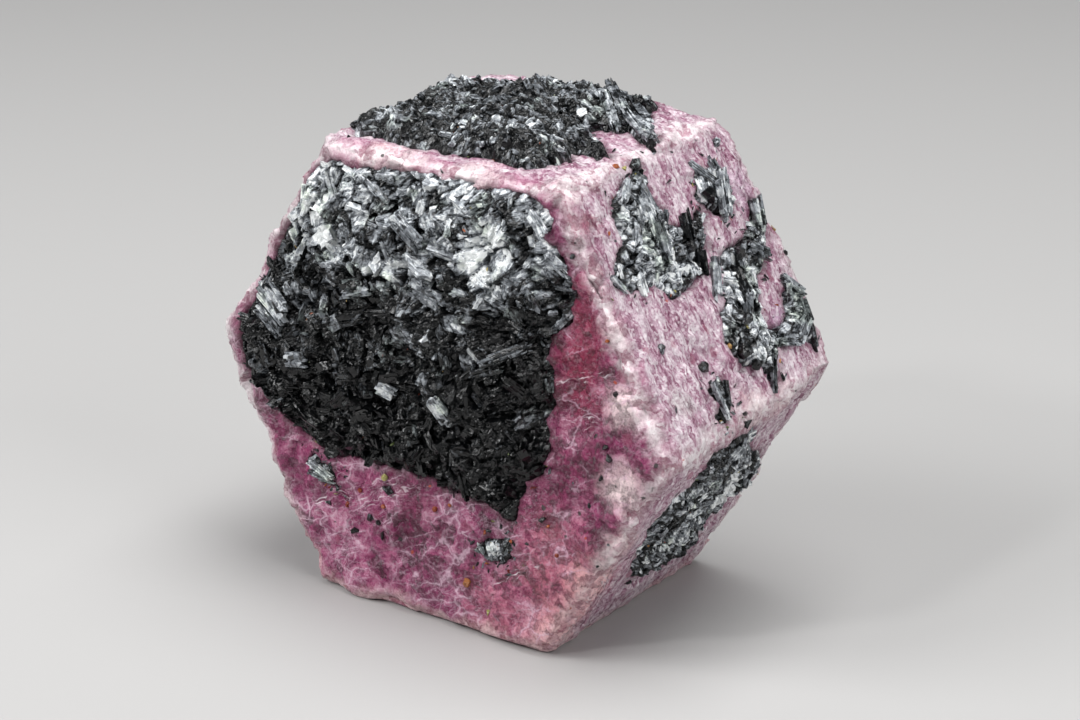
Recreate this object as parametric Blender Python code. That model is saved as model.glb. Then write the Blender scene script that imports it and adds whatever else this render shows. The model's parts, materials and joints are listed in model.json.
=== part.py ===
# Rough ruby crystal with black amphibole grown into its faces.
# Metres, +Z up. The crystal is a six-sided prism lying on its bottom side face. Its c axis runs
# along Y, and its end face called front looks along -Y. The origin is on the resting face,
# straight below the middle of the c axis.

import math
import random

import bmesh
import bpy
import numpy as np
from mathutils import Vector, noise
from mathutils.geometry import delaunay_2d_cdt

MM = 0.001

# Driving sizes
AXIS_HEIGHT = 31.4 * MM  # c axis above the resting face
EDGE_WEAR = 2.2 * MM  # mean radius of the worn edges
FRONT_WEAR = 0.3  # share by which the radius grows towards the front and shrinks towards the back
HIGH_WEAR = 0.35  # share by which it grows towards the top and shrinks towards the resting face
WEAR_SPREAD = 0.3  # share by which it varies from place to place
LEAST_WEAR = 0.55  # share that even the sharpest edge has
FOOT_WEAR = 1.04  # share of the edges round the resting face
FOOT_LIFT = 0.02 * MM  # how far the resting face's sides are worn back between its corners
SEAT_GAP = 0.3 * MM  # clearance between a mass and the pocket that holds it
CELLS_PER_FACE = 15  # mesh cells along each side of the twelve starting faces

# The side faces in order round the c axis, clockwise from the top as seen from the front: turn about
# the axis and lean along it in degrees, and distance from it in millimetres. The ideal prism has
# turns 60 degrees apart and no lean.
SIDE_FACES = {
    "top": (90.6, -4.2, 31.3),
    "upper_right": (29.3, -3.0, 32.1),
    "lower_right": (-31.8, 2.3, 31.4),
    "bottom": (-90.0, 0.0, 31.4),
    "lower_left": (-149.8, -0.2, 33.4),
    "upper_left": (149.4, 0.6, 33.0),
}
# The end faces: turn about Z and lean about X in degrees, and distance in millimetres
END_FACES = {"front": (-2.3, 2.0, 17.3), "back": (-2.8, 0.0, 18.9)}

# Dents (below zero) and swellings: face, place across and up it, radius and height in millimetres
FORMS = [
    ("front", 21.5, 13.5, 5.0, -1.3),  # smooth hollow beside the front mass
    ("front", 20.0, 1.5, 5.5, -1.1),
    ("front", 21.0, -9.0, 4.0, -0.5),
    ("front", -21.0, -28.0, 1.8, -0.9),  # chips along the lower left edge
    ("front", -29.5, -14.0, 1.8, -0.8),
    ("front", -26.5, -19.0, 3.0, 0.4),
    ("front", -12.0, -31.5, 3.0, 0.6),  # knob and chip along the lower edge
    ("front", -6.5, -32.5, 2.4, -0.8),
    ("front", 30.0, -14.0, 4.5, 0.5),
    ("front", -35.0, 3.0, 3.0, 0.5),
    ("top", -12.0, 20.0, 4.5, 0.4),  # raised rear corner of the top
    ("top", 18.5, 21.0, 4.5, -1.5),  # worn corner behind the right end of the top
    ("upper_right", 16.0, -11.0, 5.5, 0.8),  # swollen corner where three faces meet
    ("upper_right", -2.0, 1.5, 6.0, -0.4),
    ("upper_right", 15.0, 20.0, 4.0, -0.6),
    ("lower_right", -4.0, 19.0, 3.5, -0.7),
    ("lower_right", 9.0, -15.0, 5.0, 0.4),
    ("upper_left", -4.0, 6.0, 7.0, -0.8),
    ("lower_left", 6.0, -4.0, 6.0, -0.6),
    ("back", 14.0, -12.0, 8.0, -0.9),
    ("back", -18.0, -6.0, 6.0, 0.7),
]

# The black masses. The outline is across and up the face in millimetres, seat is the depth of the
# pocket, crown the height that the mass swells to over soft millimetres from its rim, grain the
# spacing of its facets and rough their height.
MASSES = {
    "amphibole_front": {
        "face": "front", "seat": 3.2, "crown": 4.2, "soft": 8.0, "grain": 2.5, "rough": 0.75,
        "outline": [
            (-18.5, 26.5), (-11.5, 27.0), (-3.0, 28.0), (6.0, 27.8), (14.0, 27.8), (18.4, 25.8),
            (17.0, 23.2), (20.2, 21.4), (21.3, 16.5), (20.6, 12.6), (18.0, 10.8), (18.7, 4.5),
            (17.6, -0.5), (18.8, -5.0), (15.4, -9.3), (13.6, -14.2), (6.5, -13.2), (-2.5, -12.0),
            (-12.0, -12.2), (-17.0, -13.0), (-24.0, -10.6), (-30.0, -6.6), (-32.8, -1.0),
            (-32.2, 3.8), (-28.3, 10.4), (-24.8, 17.0), (-22.4, 22.4),
        ],
    },
    "amphibole_top": {
        "face": "top", "seat": 2.2, "crown": 3.6, "soft": 2.6, "grain": 2.3, "rough": 0.4,
        "outline": [
            (-19.0, -7.6), (-10.0, -9.8), (-3.0, -10.4), (4.0, -9.6), (11.0, -10.3), (14.2, -7.0),
            (12.4, -2.6), (17.6, -1.2), (13.6, 2.0), (10.2, 5.2), (13.6, 6.2), (20.0, 4.6), (17.6, 8.4),
            (13.4, 11.8), (11.4, 18.4), (4.0, 19.6), (-4.0, 18.2), (-10.0, 14.6), (-14.8, 9.4),
            (-17.4, 3.0), (-19.0, -3.0),
        ],
    },
    "amphibole_wedge": {
        "face": "upper_right", "seat": 2.2, "crown": 0.9, "soft": 2.0, "grain": 2.0, "rough": 0.35,
        "outline": [
            (-17.0, 0.2), (-12.0, 0.8), (-8.1, 1.4), (-7.2, 5.2), (-8.4, 8.0), (-5.5, 7.6),
            (-2.0, 5.2), (-0.4, 0.6), (0.6, -3.0), (-1.6, -6.4), (-2.2, -10.4), (-3.6, -13.0),
            (-6.2, -10.6), (-9.0, -8.4), (-13.2, -7.6), (-15.2, -3.2),
        ],
    },
    "amphibole_blades": {
        "face": "upper_right", "seat": 2.0, "crown": 1.2, "soft": 1.5, "grain": 1.7, "rough": 0.4,
        "outline": [
            (-15.0, 8.8), (-13.2, 11.2), (-12.4, 14.4), (-9.8, 15.2), (-6.2, 13.6), (-7.4, 11.0),
            (-9.8, 8.2), (-12.4, 9.8),
        ],
    },
    "amphibole_branch": {
        "face": "upper_right", "seat": 2.2, "crown": 1.0, "soft": 1.8, "grain": 1.8, "rough": 0.4,
        "outline": [
            (-7.4, 17.9), (-6.4, 19.6), (-2.4, 18.9), (0.5, 16.6), (2.0, 13.6), (5.2, 12.2),
            (8.4, 11.2), (9.0, 15.2), (6.6, 17.0), (4.0, 18.8), (7.0, 20.2), (13.6, 20.2), (11.8, 17.6),
            (11.8, 11.4), (15.6, 9.0), (12.8, 7.2), (12.2, 4.8), (10.0, 2.6), (6.2, 3.0),
            (3.0, 6.2), (-1.6, 8.2), (-2.8, 12.2), (-4.6, 16.2),
        ],
    },
    "amphibole_sliver": {
        "face": "upper_right", "seat": 1.6, "crown": 0.5, "soft": 1.0, "grain": 1.4, "rough": 0.25,
        "outline": [(11.4, -2.6), (12.6, -1.4), (15.4, -1.8), (17.2, -3.6), (14.6, -4.2), (12.6, -4.0)],
    },
    "amphibole_band": {
        "face": "lower_right", "seat": 2.2, "crown": 1.0, "soft": 2.2, "grain": 2.1, "rough": 0.4,
        "outline": [
            (-16.6, -2.0), (-15.6, 2.6), (-10.4, 6.2), (-5.4, 13.8), (-1.2, 17.0), (0.8, 12.4),
            (3.6, 8.0), (8.0, 8.4), (10.8, 5.6), (8.8, -2.0), (7.4, -8.6), (3.4, -10.2), (-1.0, -13.0),
            (-5.0, -13.2), (-9.2, -12.6), (-11.0, -9.2), (-15.4, -8.6),
        ],
    },
    "amphibole_knot": {
        "face": "front", "seat": 1.6, "crown": 0.7, "soft": 1.0, "grain": 1.4, "rough": 0.3,
        "outline": [(7.6, -19.8), (9.6, -17.9), (13.4, -16.6), (14.4, -18.2), (12.6, -20.8), (9.6, -21.2)],
    },
    "amphibole_flake": {
        "face": "front", "seat": 1.4, "crown": 0.5, "soft": 1.0, "grain": 1.4, "rough": 0.2,
        "outline": [(-21.4, -14.2), (-18.6, -14.2), (-16.2, -16.0), (-17.4, -17.4), (-20.4, -16.2)],
    },
    "amphibole_left": {
        "face": "upper_left", "seat": 2.0, "crown": 1.0, "soft": 2.0, "grain": 2.2, "rough": 0.4,
        "outline": [
            (-6.0, -9.0), (1.0, -11.0), (6.5, -7.5), (5.0, -2.0), (8.5, 2.5), (4.0, 7.0), (-2.0, 4.5),
            (-4.5, -1.5), (-8.0, -4.0),
        ],
    },
    "amphibole_back": {
        "face": "back", "seat": 2.6, "crown": 1.8, "soft": 4.0, "grain": 2.5, "rough": 0.6,
        "outline": [
            (-16.0, 12.0), (-8.0, 18.5), (1.0, 20.0), (9.5, 16.5), (12.0, 9.0), (7.0, 3.5), (8.0, -3.5),
            (2.0, -9.0), (-6.0, -7.0), (-10.0, -1.0), (-17.0, 2.5),
        ],
    },
    "amphibole_back_corner": {
        "face": "back", "seat": 1.8, "crown": 0.8, "soft": 1.6, "grain": 1.9, "rough": 0.35,
        "outline": [(15.0, -16.0), (19.0, -13.0), (22.0, -16.5), (20.0, -21.0), (15.5, -22.5), (12.5, -19.0)],
    },
}
OUTLINE_STEP = 1.7 * MM  # spacing of the points along a rim
RIM_RAGGED = 0.4 * MM  # how far a rim strays from its smooth outline
CUT_HEIGHT = 9.0 * MM  # how far a pocket's cutter stands out of the face

# Colour, roughness and metallic value
RUBY_FINISH = ((0.50, 0.21, 0.30, 1.0), 0.5, 0.0)
AMPHIBOLE_FINISH = ((0.035, 0.04, 0.042, 1.0), 0.3, 0.0)


def clear_scene():
    for obj in list(bpy.data.objects):
        bpy.data.objects.remove(obj)


def side_normal(turn, lean):
    turn, lean = math.radians(turn), math.radians(lean)
    return Vector((math.cos(turn) * math.cos(lean), math.sin(lean), math.sin(turn) * math.cos(lean)))


def end_normal(turn, lean, outward):
    turn, lean = math.radians(turn), math.radians(lean)
    return Vector((math.sin(turn), outward * math.cos(turn) * math.cos(lean), math.sin(lean)))


def crystal_planes():
    """Unit normal and distance of each face, by name, about the middle of the crystal."""
    planes = {}
    for name, (turn, lean, distance) in SIDE_FACES.items():
        planes[name] = (side_normal(turn, lean).normalized(), distance * MM)
    for name, (turn, lean, distance) in END_FACES.items():
        outward = -1 if name == "front" else 1
        planes[name] = (end_normal(turn, lean, outward).normalized(), distance * MM)
    return planes


PLANES = crystal_planes()
NORMALS = np.array([normal for normal, _ in PLANES.values()])
DISTANCES = np.array([distance for _, distance in PLANES.values()])


def face_frame(name):
    """Middle of a face, and its directions across, up and out. Up is +Y on a side face and +Z on an end."""
    out, distance = PLANES[name]
    up = Vector((0, 0, 1)) if name in END_FACES else Vector((0, 1, 0))
    up = (up - out * up.dot(out)).normalized()
    return out * distance, up.cross(out), up, out


def on_face(name, across, up, height=0.0):
    middle, x, y, out = face_frame(name)
    return middle + x * across + y * up + out * height


def shrunk_point(points, radius):
    """The nearest point to each given one inside the crystal shrunk by radius, by Dykstra's projections."""
    inner = points.copy()
    steps = np.zeros((len(NORMALS), *points.shape))
    for _ in range(30):
        for k, normal in enumerate(NORMALS):
            tried = inner + steps[k]
            over = np.maximum(tried @ normal - (DISTANCES[k] - radius), 0.0)
            inner = tried - over[:, None] * normal
            steps[k] = tried - inner
    return inner


def wear_at(points):
    varied = np.array([noise.noise(Vector(p) / (17 * MM)) for p in points])
    forward = np.clip(-points[:, 1] / (17 * MM), -1, 1)
    high = np.clip(points[:, 2] / AXIS_HEIGHT, -1, 1)
    low = np.clip(-3 * high - 2, 0, 1)
    wear = np.maximum(1 + FRONT_WEAR * forward + HIGH_WEAR * high + WEAR_SPREAD * varied, LEAST_WEAR)
    return EDGE_WEAR * (wear * (1 - low) + FOOT_WEAR * low)


FORM_PLACES = [(on_face(f, a * MM, b * MM), r * MM, h * MM) for f, a, b, r, h in FORMS]


def growth_steps(point, outward):
    """Low terraces that run round the side faces, where growth layers end."""
    side = 1 - min(1.0, abs(outward.y) * 1.6)
    waver = 1.2 * MM * noise.noise(point / (12 * MM))
    layer = (point.y + waver) / (4.2 * MM)
    return 0.32 * MM * side * (abs((layer % 1.0) * 2 - 1) ** 3 - 0.3)


def relief(point, outward):
    """Height of the real surface over the smooth worn crystal. It fades to nothing on the resting face."""
    height = 0.55 * MM * noise.noise(point / (15 * MM) + Vector((3.1, 0, 0)))
    height += 0.30 * MM * noise.noise(point / (5.5 * MM))
    height += growth_steps(point, outward)
    for place, radius, swell in FORM_PLACES:
        height += swell * math.exp(-((point - place).length_squared) / radius**2)
    return height * min(1.0, max(0.0, 1 + outward.z - 0.14) * 6.5)


def side_of_foot(points, outward):
    """1 at the sides of the resting face but not at its corners, so that the crystal bears on the corners."""
    gaps = np.sort(DISTANCES - points @ NORMALS.T, axis=1)
    near_side = (gaps[:, 1] < 3.2 * MM) & (gaps[:, 2] > 3.2 * MM)
    return np.where(near_side & (outward[:, 2] < -0.999), 1.0, 0.0)


def surface_points(points):
    """Moves points of the sharp crystal to the worn, uneven surface."""
    radius = wear_at(points)
    inner = shrunk_point(points, radius)
    outward = points - inner
    outward /= np.linalg.norm(outward, axis=1)[:, None]
    heights = [relief(Vector(p), Vector(n)) for p, n in zip(points, outward)]
    surface = inner + outward * (radius + np.array(heights))[:, None]
    surface[:, 2] += FOOT_LIFT * side_of_foot(points, outward)
    return surface


def surface_heights(face, places):
    """Height of the worn surface over the face plane at each place (across, up) of the face."""
    out = np.array(PLANES[face][0])
    base = np.array([on_face(face, a, b) for a, b in places])
    low, high = np.full(len(base), -6 * MM), np.full(len(base), 3 * MM)
    for _ in range(18):
        middle = (low + high) / 2
        points = base + out * middle[:, None]
        radius = wear_at(points)
        away = points - shrunk_point(points, radius)
        length = np.linalg.norm(away, axis=1)
        heights = [relief(Vector(p), Vector(n / max(d, 1e-9))) for p, n, d in zip(points, away, length)]
        outside = length - radius - np.array(heights) > 0
        high = np.where(outside, middle, high)
        low = np.where(outside, low, middle)
    return (low + high) / 2


def corner(*faces):
    """The point where three faces meet."""
    normals = np.array([PLANES[f][0] for f in faces])
    return np.linalg.solve(normals, np.array([PLANES[f][1] for f in faces]))


def sharp_crystal():
    """Six side faces, and each end parted into three rhombs, so that every face divides into even cells."""
    mesh = bmesh.new()
    sides = list(SIDE_FACES)
    rings = {}
    for end in END_FACES:
        ring = [mesh.verts.new(corner(sides[k - 1], sides[k], end)) for k in range(6)]
        middle = mesh.verts.new(PLANES[end][0] * PLANES[end][1])
        rings[end] = ring
        for k in (0, 2, 4):
            quad = [middle, ring[k], ring[k + 1], ring[(k + 2) % 6]]
            mesh.faces.new(quad)
    for k in range(6):
        ahead = (k + 1) % 6
        mesh.faces.new([rings["front"][k], rings["front"][ahead], rings["back"][ahead], rings["back"][k]])
    bmesh.ops.recalc_face_normals(mesh, faces=mesh.faces)
    bmesh.ops.subdivide_edges(mesh, edges=mesh.edges[:], cuts=CELLS_PER_FACE - 1, use_grid_fill=True)
    return mesh


def new_object(name, mesh, finish):
    data = bpy.data.meshes.new(name)
    mesh.to_mesh(data)
    mesh.free()
    obj = bpy.data.objects.new(name, data)
    bpy.context.scene.collection.objects.link(obj)
    obj.location.z = AXIS_HEIGHT
    if finish:
        obj.data.materials.append(finish)
    return obj


def make_material(name, finish):
    colour, roughness, metallic = finish
    material = bpy.data.materials.new(name)
    material.use_nodes = True
    shader = material.node_tree.nodes["Principled BSDF"]
    shader.inputs["Base Color"].default_value = colour
    shader.inputs["Roughness"].default_value = roughness
    shader.inputs["Metallic"].default_value = metallic
    return material


def make_crystal(material):
    mesh = sharp_crystal()
    moved = surface_points(np.array([v.co for v in mesh.verts]))
    for vert, place in zip(mesh.verts, moved):
        vert.co = place
        vert.co.z = max(vert.co.z, -AXIS_HEIGHT)
    return new_object("ruby_crystal", mesh, material)


def smooth_loop(outline):
    """Points about OUTLINE_STEP apart along a closed Catmull-Rom curve through the outline."""
    corners = [Vector(p) * MM for p in outline]
    loop = []
    for k, start in enumerate(corners):
        before, end, after = corners[k - 1], corners[(k + 1) % len(corners)], corners[(k + 2) % len(corners)]
        pieces = max(1, round((end - start).length / OUTLINE_STEP))
        for i in range(pieces):
            t = i / pieces
            bend = (2 * before - 5 * start + 4 * end - after) * t**2
            bend += (3 * start - before - 3 * end + after) * t**3
            loop.append(start + ((end - before) * t + bend) / 2)
    return loop


def moved_out(loop, amounts):
    """The loop with each point moved out of it, square to its neighbours. The loop runs either way round."""
    area = sum(a.x * b.y - b.x * a.y for a, b in zip(loop, loop[1:] + loop[:1]))
    side = 1 if area > 0 else -1
    moved = []
    for k, point in enumerate(loop):
        along = (loop[(k + 1) % len(loop)] - loop[k - 1]).normalized()
        moved.append(point + Vector((along.y, -along.x)) * side * amounts[k])
    return moved


def ragged_loop(outline, seed):
    loop = smooth_loop(outline)
    chance = random.Random(seed)
    strays = [RIM_RAGGED * chance.uniform(-1, 1) for _ in loop]
    return moved_out(loop, strays)


def counter_clockwise(loop):
    area = sum(a.x * b.y - b.x * a.y for a, b in zip(loop, loop[1:] + loop[:1]))
    return loop if area > 0 else loop[::-1]


def rim_distance(point, loop):
    """Distance from a point to the nearest stretch of the loop."""
    nearest = math.inf
    for a, b in zip(loop, loop[1:] + loop[:1]):
        along = b - a
        t = max(0.0, min(1.0, (point - a).dot(along) / along.length_squared))
        nearest = min(nearest, (point - a - along * t).length)
    return nearest


def inside(point, loop):
    crossings = 0
    for a, b in zip(loop, loop[1:] + loop[:1]):
        if (a.y > point.y) != (b.y > point.y):
            crossings += point.x < a.x + (point.y - a.y) / (b.y - a.y) * (b.x - a.x)
    return crossings % 2 == 1


def facet_points(loop, grain, chance):
    """Loosely hexagonal points inside the loop, which become the corners of crystal facets."""
    low = Vector((min(p.x for p in loop), min(p.y for p in loop)))
    high = Vector((max(p.x for p in loop), max(p.y for p in loop)))
    row_height = grain * math.sqrt(3) / 2
    found = []
    for row in range(math.ceil((high.y - low.y) / row_height)):
        for column in range(math.ceil((high.x - low.x) / grain) + 1):
            stray = Vector((chance.uniform(-1, 1), chance.uniform(-1, 1))) * grain * 0.3
            place = low + Vector(((column + row % 2 / 2) * grain, (row + 0.5) * row_height)) + stray
            clear = all((place - other).length > 0.6 * grain for other in found)
            if clear and inside(place, loop) and rim_distance(place, loop) > 0.6 * grain:
                found.append(place)
    return found


def make_mass(name, mass, loop, seed, material):
    """A closed solid with a flat seat, upright walls and a swollen top of crystal facets."""
    chance = random.Random(seed)
    loop = counter_clockwise(loop)
    count = len(loop)
    points = loop + facet_points(loop, mass["grain"] * MM, chance)
    edges = [(k, (k + 1) % count) for k in range(count)]
    flat, _, triangles, sources, *_ = delaunay_2d_cdt(points, edges, [], 1, 1e-7)
    heights = surface_heights(mass["face"], [tuple(p) for p in flat])
    mesh = bmesh.new()
    tops = []
    for k, place in enumerate(flat):
        on_rim = any(source < count for source in sources[k])
        depth_in = 0.0 if on_rim else rim_distance(place, loop)
        rough = (0.15 if on_rim else mass["rough"]) * chance.uniform(-1, 1)
        lump = 0.5 * noise.noise(Vector((*place, seed)) / (6 * MM))
        swell = mass["crown"] * (1 + lump) * (1 - math.exp(-depth_in / (mass["soft"] * MM)))
        tops.append(mesh.verts.new(on_face(mass["face"], *place, heights[k] + (swell + rough) * MM)))
    for triangle in triangles:
        mesh.faces.new([tops[k] for k in triangle])
    rim = sorted((min(sources[k]), k) for k in range(len(flat)) if sources[k] and min(sources[k]) < count)
    seat = -mass["seat"] * MM + SEAT_GAP
    feet = [mesh.verts.new(on_face(mass["face"], *flat[k], seat)) for _, k in rim]
    for i in range(count):
        ahead = (i + 1) % count
        mesh.faces.new([feet[i], feet[ahead], tops[rim[ahead][1]], tops[rim[i][1]]])
    mesh.faces.new(feet[::-1])
    return new_object(name, mesh, material)


def make_cutter(name, mass, loop, into):
    """The pocket that holds a mass: its outline grown by the gap, driven in along the face's normal."""
    loop = counter_clockwise(moved_out(loop, [SEAT_GAP] * len(loop)))
    mesh = bmesh.new()
    floor = [mesh.verts.new(on_face(mass["face"], *p, -mass["seat"] * MM)) for p in loop]
    roof = [mesh.verts.new(on_face(mass["face"], *p, CUT_HEIGHT)) for p in loop]
    mesh.faces.new(floor[::-1])
    mesh.faces.new(roof)
    for i in range(len(loop)):
        ahead = (i + 1) % len(loop)
        mesh.faces.new([floor[i], floor[ahead], roof[ahead], roof[i]])
    cutter = new_object("pocket_" + name, mesh, None)
    bpy.context.scene.collection.objects.unlink(cutter)
    into.objects.link(cutter)
    cutter.hide_render = True
    cutter.display_type = "WIRE"


def main():
    clear_scene()
    ruby = make_material("ruby", RUBY_FINISH)
    amphibole = make_material("amphibole", AMPHIBOLE_FINISH)
    crystal = make_crystal(ruby)
    pockets = bpy.data.collections.new("pockets")
    bpy.context.scene.collection.children.link(pockets)
    for seed, (name, mass) in enumerate(MASSES.items()):
        loop = ragged_loop(mass["outline"], seed)
        make_mass(name, mass, loop, seed, amphibole)
        make_cutter(name, mass, loop, pockets)
    cut = crystal.modifiers.new("pockets", "BOOLEAN")
    cut.operand_type = "COLLECTION"
    cut.collection = pockets
    cut.operation = "DIFFERENCE"
    cut.solver = "EXACT"


main()
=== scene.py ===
# Rough ruby crystal with black amphibole grown into it, lying on one side face on a pale floor.
# Metres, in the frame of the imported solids. The crystal's c axis runs along Y and its front looks along -Y.

import json
import math
import random
from types import SimpleNamespace

import bmesh
import bpy
import numpy as np
from mathutils import Matrix, Vector, noise
from mathutils.bvhtree import BVHTree

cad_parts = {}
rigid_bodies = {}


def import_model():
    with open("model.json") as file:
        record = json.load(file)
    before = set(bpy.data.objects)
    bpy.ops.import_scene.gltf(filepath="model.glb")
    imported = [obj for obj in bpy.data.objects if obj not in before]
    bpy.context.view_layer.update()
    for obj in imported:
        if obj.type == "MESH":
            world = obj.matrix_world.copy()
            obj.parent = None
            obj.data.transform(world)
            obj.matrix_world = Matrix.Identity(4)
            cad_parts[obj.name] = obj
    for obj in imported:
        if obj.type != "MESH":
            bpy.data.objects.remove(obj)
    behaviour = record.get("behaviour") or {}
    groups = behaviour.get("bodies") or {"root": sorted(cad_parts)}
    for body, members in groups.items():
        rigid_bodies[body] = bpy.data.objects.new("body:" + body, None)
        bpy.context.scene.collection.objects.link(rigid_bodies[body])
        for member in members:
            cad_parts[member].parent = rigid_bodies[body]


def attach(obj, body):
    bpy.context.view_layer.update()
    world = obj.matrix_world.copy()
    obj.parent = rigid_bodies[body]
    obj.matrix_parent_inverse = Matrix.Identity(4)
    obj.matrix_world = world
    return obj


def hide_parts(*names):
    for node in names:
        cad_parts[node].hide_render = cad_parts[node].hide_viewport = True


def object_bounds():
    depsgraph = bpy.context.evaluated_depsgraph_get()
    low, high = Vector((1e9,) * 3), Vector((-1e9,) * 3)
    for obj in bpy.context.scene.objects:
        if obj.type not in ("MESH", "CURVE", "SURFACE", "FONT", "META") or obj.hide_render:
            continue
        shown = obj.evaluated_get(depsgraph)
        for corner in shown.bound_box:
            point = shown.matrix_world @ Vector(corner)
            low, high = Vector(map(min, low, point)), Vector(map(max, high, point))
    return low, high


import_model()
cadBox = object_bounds()
mm = 0.001

# The shape of the crystal, as the solids have it: side faces (turn about the c axis, lean along it and
# distance from it), end faces, wear of the edges, and dents and swellings (across, up, radius, height)
axisHeight = 31.4 * mm
edgeWear, frontWear, highWear, wearSpread, leastWear, footWear = 2.2 * mm, 0.3, 0.35, 0.3, 0.55, 1.04
sideFaces = {
    "top": (90.6, -4.2, 31.3),
    "upperRight": (29.3, -3.0, 32.1),
    "lowerRight": (-31.8, 2.3, 31.4),
    "bottom": (-90.0, 0.0, 31.4),
    "lowerLeft": (-149.8, -0.2, 33.4),
    "upperLeft": (149.4, 0.6, 33.0),
}
endFaces = {"front": (-2.3, 2.0, 17.3), "back": (-2.8, 0.0, 18.9)}
forms = [
    ("front", 21.5, 13.5, 5, -1.3),
    ("front", 20, 1.5, 5.5, -1.1),
    ("front", 21, -9, 4, -0.5),
    ("front", -21, -28, 1.8, -0.9),
    ("front", -29.5, -14, 1.8, -0.8),
    ("front", -26.5, -19, 3, 0.4),
    ("front", -12, -31.5, 3, 0.6),
    ("front", -6.5, -32.5, 2.4, -0.8),
    ("front", 30, -14, 4.5, 0.5),
    ("front", -35, 3, 3, 0.5),
    ("top", -12, 20, 4.5, 0.4),
    ("top", 18.5, 21, 4.5, -1.5),
    ("upperRight", 16, -11, 5.5, 0.8),
    ("upperRight", -2, 1.5, 6, -0.4),
    ("upperRight", 15, 20, 4, -0.6),
    ("lowerRight", -4, 19, 3.5, -0.7),
    ("lowerRight", 9, -15, 5, 0.4),
    ("upperLeft", -4, 6, 7, -0.8),
    ("lowerLeft", 6, -4, 6, -0.6),
    ("back", 14, -12, 8, -0.9),
    ("back", -18, -6, 6, 0.7),
]


# Geometry of the faces

def unitNormals():
    normals = {}
    for name, (turn, lean, distance) in sideFaces.items():
        turn, lean = math.radians(turn), math.radians(lean)
        out = Vector((math.cos(turn) * math.cos(lean), math.sin(lean), math.sin(turn) * math.cos(lean)))
        normals[name] = (out.normalized(), distance * mm)
    for name, (turn, lean, distance) in endFaces.items():
        turn, lean = math.radians(turn), math.radians(lean)
        outward = -1 if name == "front" else 1
        out = Vector((math.sin(turn), outward * math.cos(turn) * math.cos(lean), math.sin(lean)))
        normals[name] = (out.normalized(), distance * mm)
    return normals


planes = unitNormals()
faceNames = list(planes)
planeNormals = np.array([out for out, _ in planes.values()])
planeDistances = np.array([distance for _, distance in planes.values()])


def faceFrame(name):
    out, distance = planes[name]
    up = Vector((0, 0, 1)) if name in endFaces else Vector((0, 1, 0))
    up = (up - out * up.dot(out)).normalized()
    return out * distance, up.cross(out), up, out


def onFace(name, across, up, height=0.0):
    middle, x, y, out = faceFrame(name)
    return middle + x * across + y * up + out * height


def placeOn(name, across, up, height=0.0):
    # The same place in the scene, given in millimetres
    return onFace(name, across * mm, up * mm, height * mm) + Vector((0, 0, axisHeight))


def noiseAt(points, size, shift=(0.0, 0.0, 0.0)):
    return np.array([noise.noise(Vector(p)) for p in points / size + np.array(shift)])


def shrunkPoint(points, radius):
    inner = points.copy()
    steps = np.zeros((len(planeNormals), *points.shape))
    for _ in range(30):
        for k, out in enumerate(planeNormals):
            tried = inner + steps[k]
            over = np.maximum(tried @ out - (planeDistances[k] - radius), 0.0)
            inner = tried - over[:, None] * out
            steps[k] = tried - inner
    return inner


def wearAt(points):
    forward = np.clip(-points[:, 1] / (17 * mm), -1, 1)
    high = np.clip(points[:, 2] / axisHeight, -1, 1)
    low = np.clip(-3 * high - 2, 0, 1)
    wear = 1 + frontWear * forward + highWear * high + wearSpread * noiseAt(points, 17 * mm)
    wear = np.maximum(wear, leastWear)
    return edgeWear * (wear * (1 - low) + footWear * low)


def relief(points, outward):
    # The solids' own relief, without the fading on the resting face
    height = 0.55 * mm * noiseAt(points, 15 * mm, (3.1, 0, 0))
    height += 0.30 * mm * noiseAt(points, 5.5 * mm)
    side = 1 - np.minimum(1.0, np.abs(outward[:, 1]) * 1.6)
    layer = (points[:, 1] + 1.2 * mm * noiseAt(points, 12 * mm)) / (4.2 * mm)
    height += 0.32 * mm * side * (np.abs((layer % 1.0) * 2 - 1) ** 3 - 0.3)
    for face, across, up, radius, swell in forms:
        gap = ((points - np.array(onFace(face, across * mm, up * mm))) ** 2).sum(1)
        height += swell * mm * np.exp(-gap / (radius * mm) ** 2)
    return height


def brokenFacets(points, size):
    # Height of flat facets about size across, each tipped its own way
    heights = []
    for p in points / size:
        seat = noise.voronoi(Vector(p))[1][0]
        lean = noise.cell_vector(seat * 7.31 + Vector((0.5, 0.5, 0.5)))
        heights.append((Vector(p) - seat).dot(lean - Vector((0.5, 0.5, 0.5))))
    return np.array(heights) * size


def fineRelief(points, outward, edge):
    # Facets, grain, growth streaks across the side faces, and pits, too fine for the solids
    side = 1 - np.minimum(1.0, np.abs(outward[:, 1]) * 1.6)
    chipped = 1 + 0.5 * np.exp(-edge / (2.5 * mm))
    height = (0.26 - 0.10 * side) * chipped * brokenFacets(points, 5.2 * mm)
    height += 0.26 * chipped * brokenFacets(points, 2.1 * mm)
    height += 0.13 * mm * noiseAt(points, 2.4 * mm)
    height += 0.09 * mm * noiseAt(points, 1.0 * mm)
    streaks = noiseAt(points * np.array([1 / 5, 1 / 0.9, 1 / 5]), mm, (7, 0, 0))
    height += side * mm * 0.10 * streaks
    pits = np.array([noise.voronoi(Vector(p))[0][0] for p in points / (3.1 * mm)])
    chosen = noiseAt(points, 7 * mm, (0, 0, 5)) > 0.05
    height -= 0.28 * mm * chosen * np.clip(1 - pits / 0.28, 0, 1)
    return height


def smoothStep(value, low, high):
    t = np.clip((value - low) / (high - low), 0, 1)
    return t * t * (3 - 2 * t)


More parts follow.
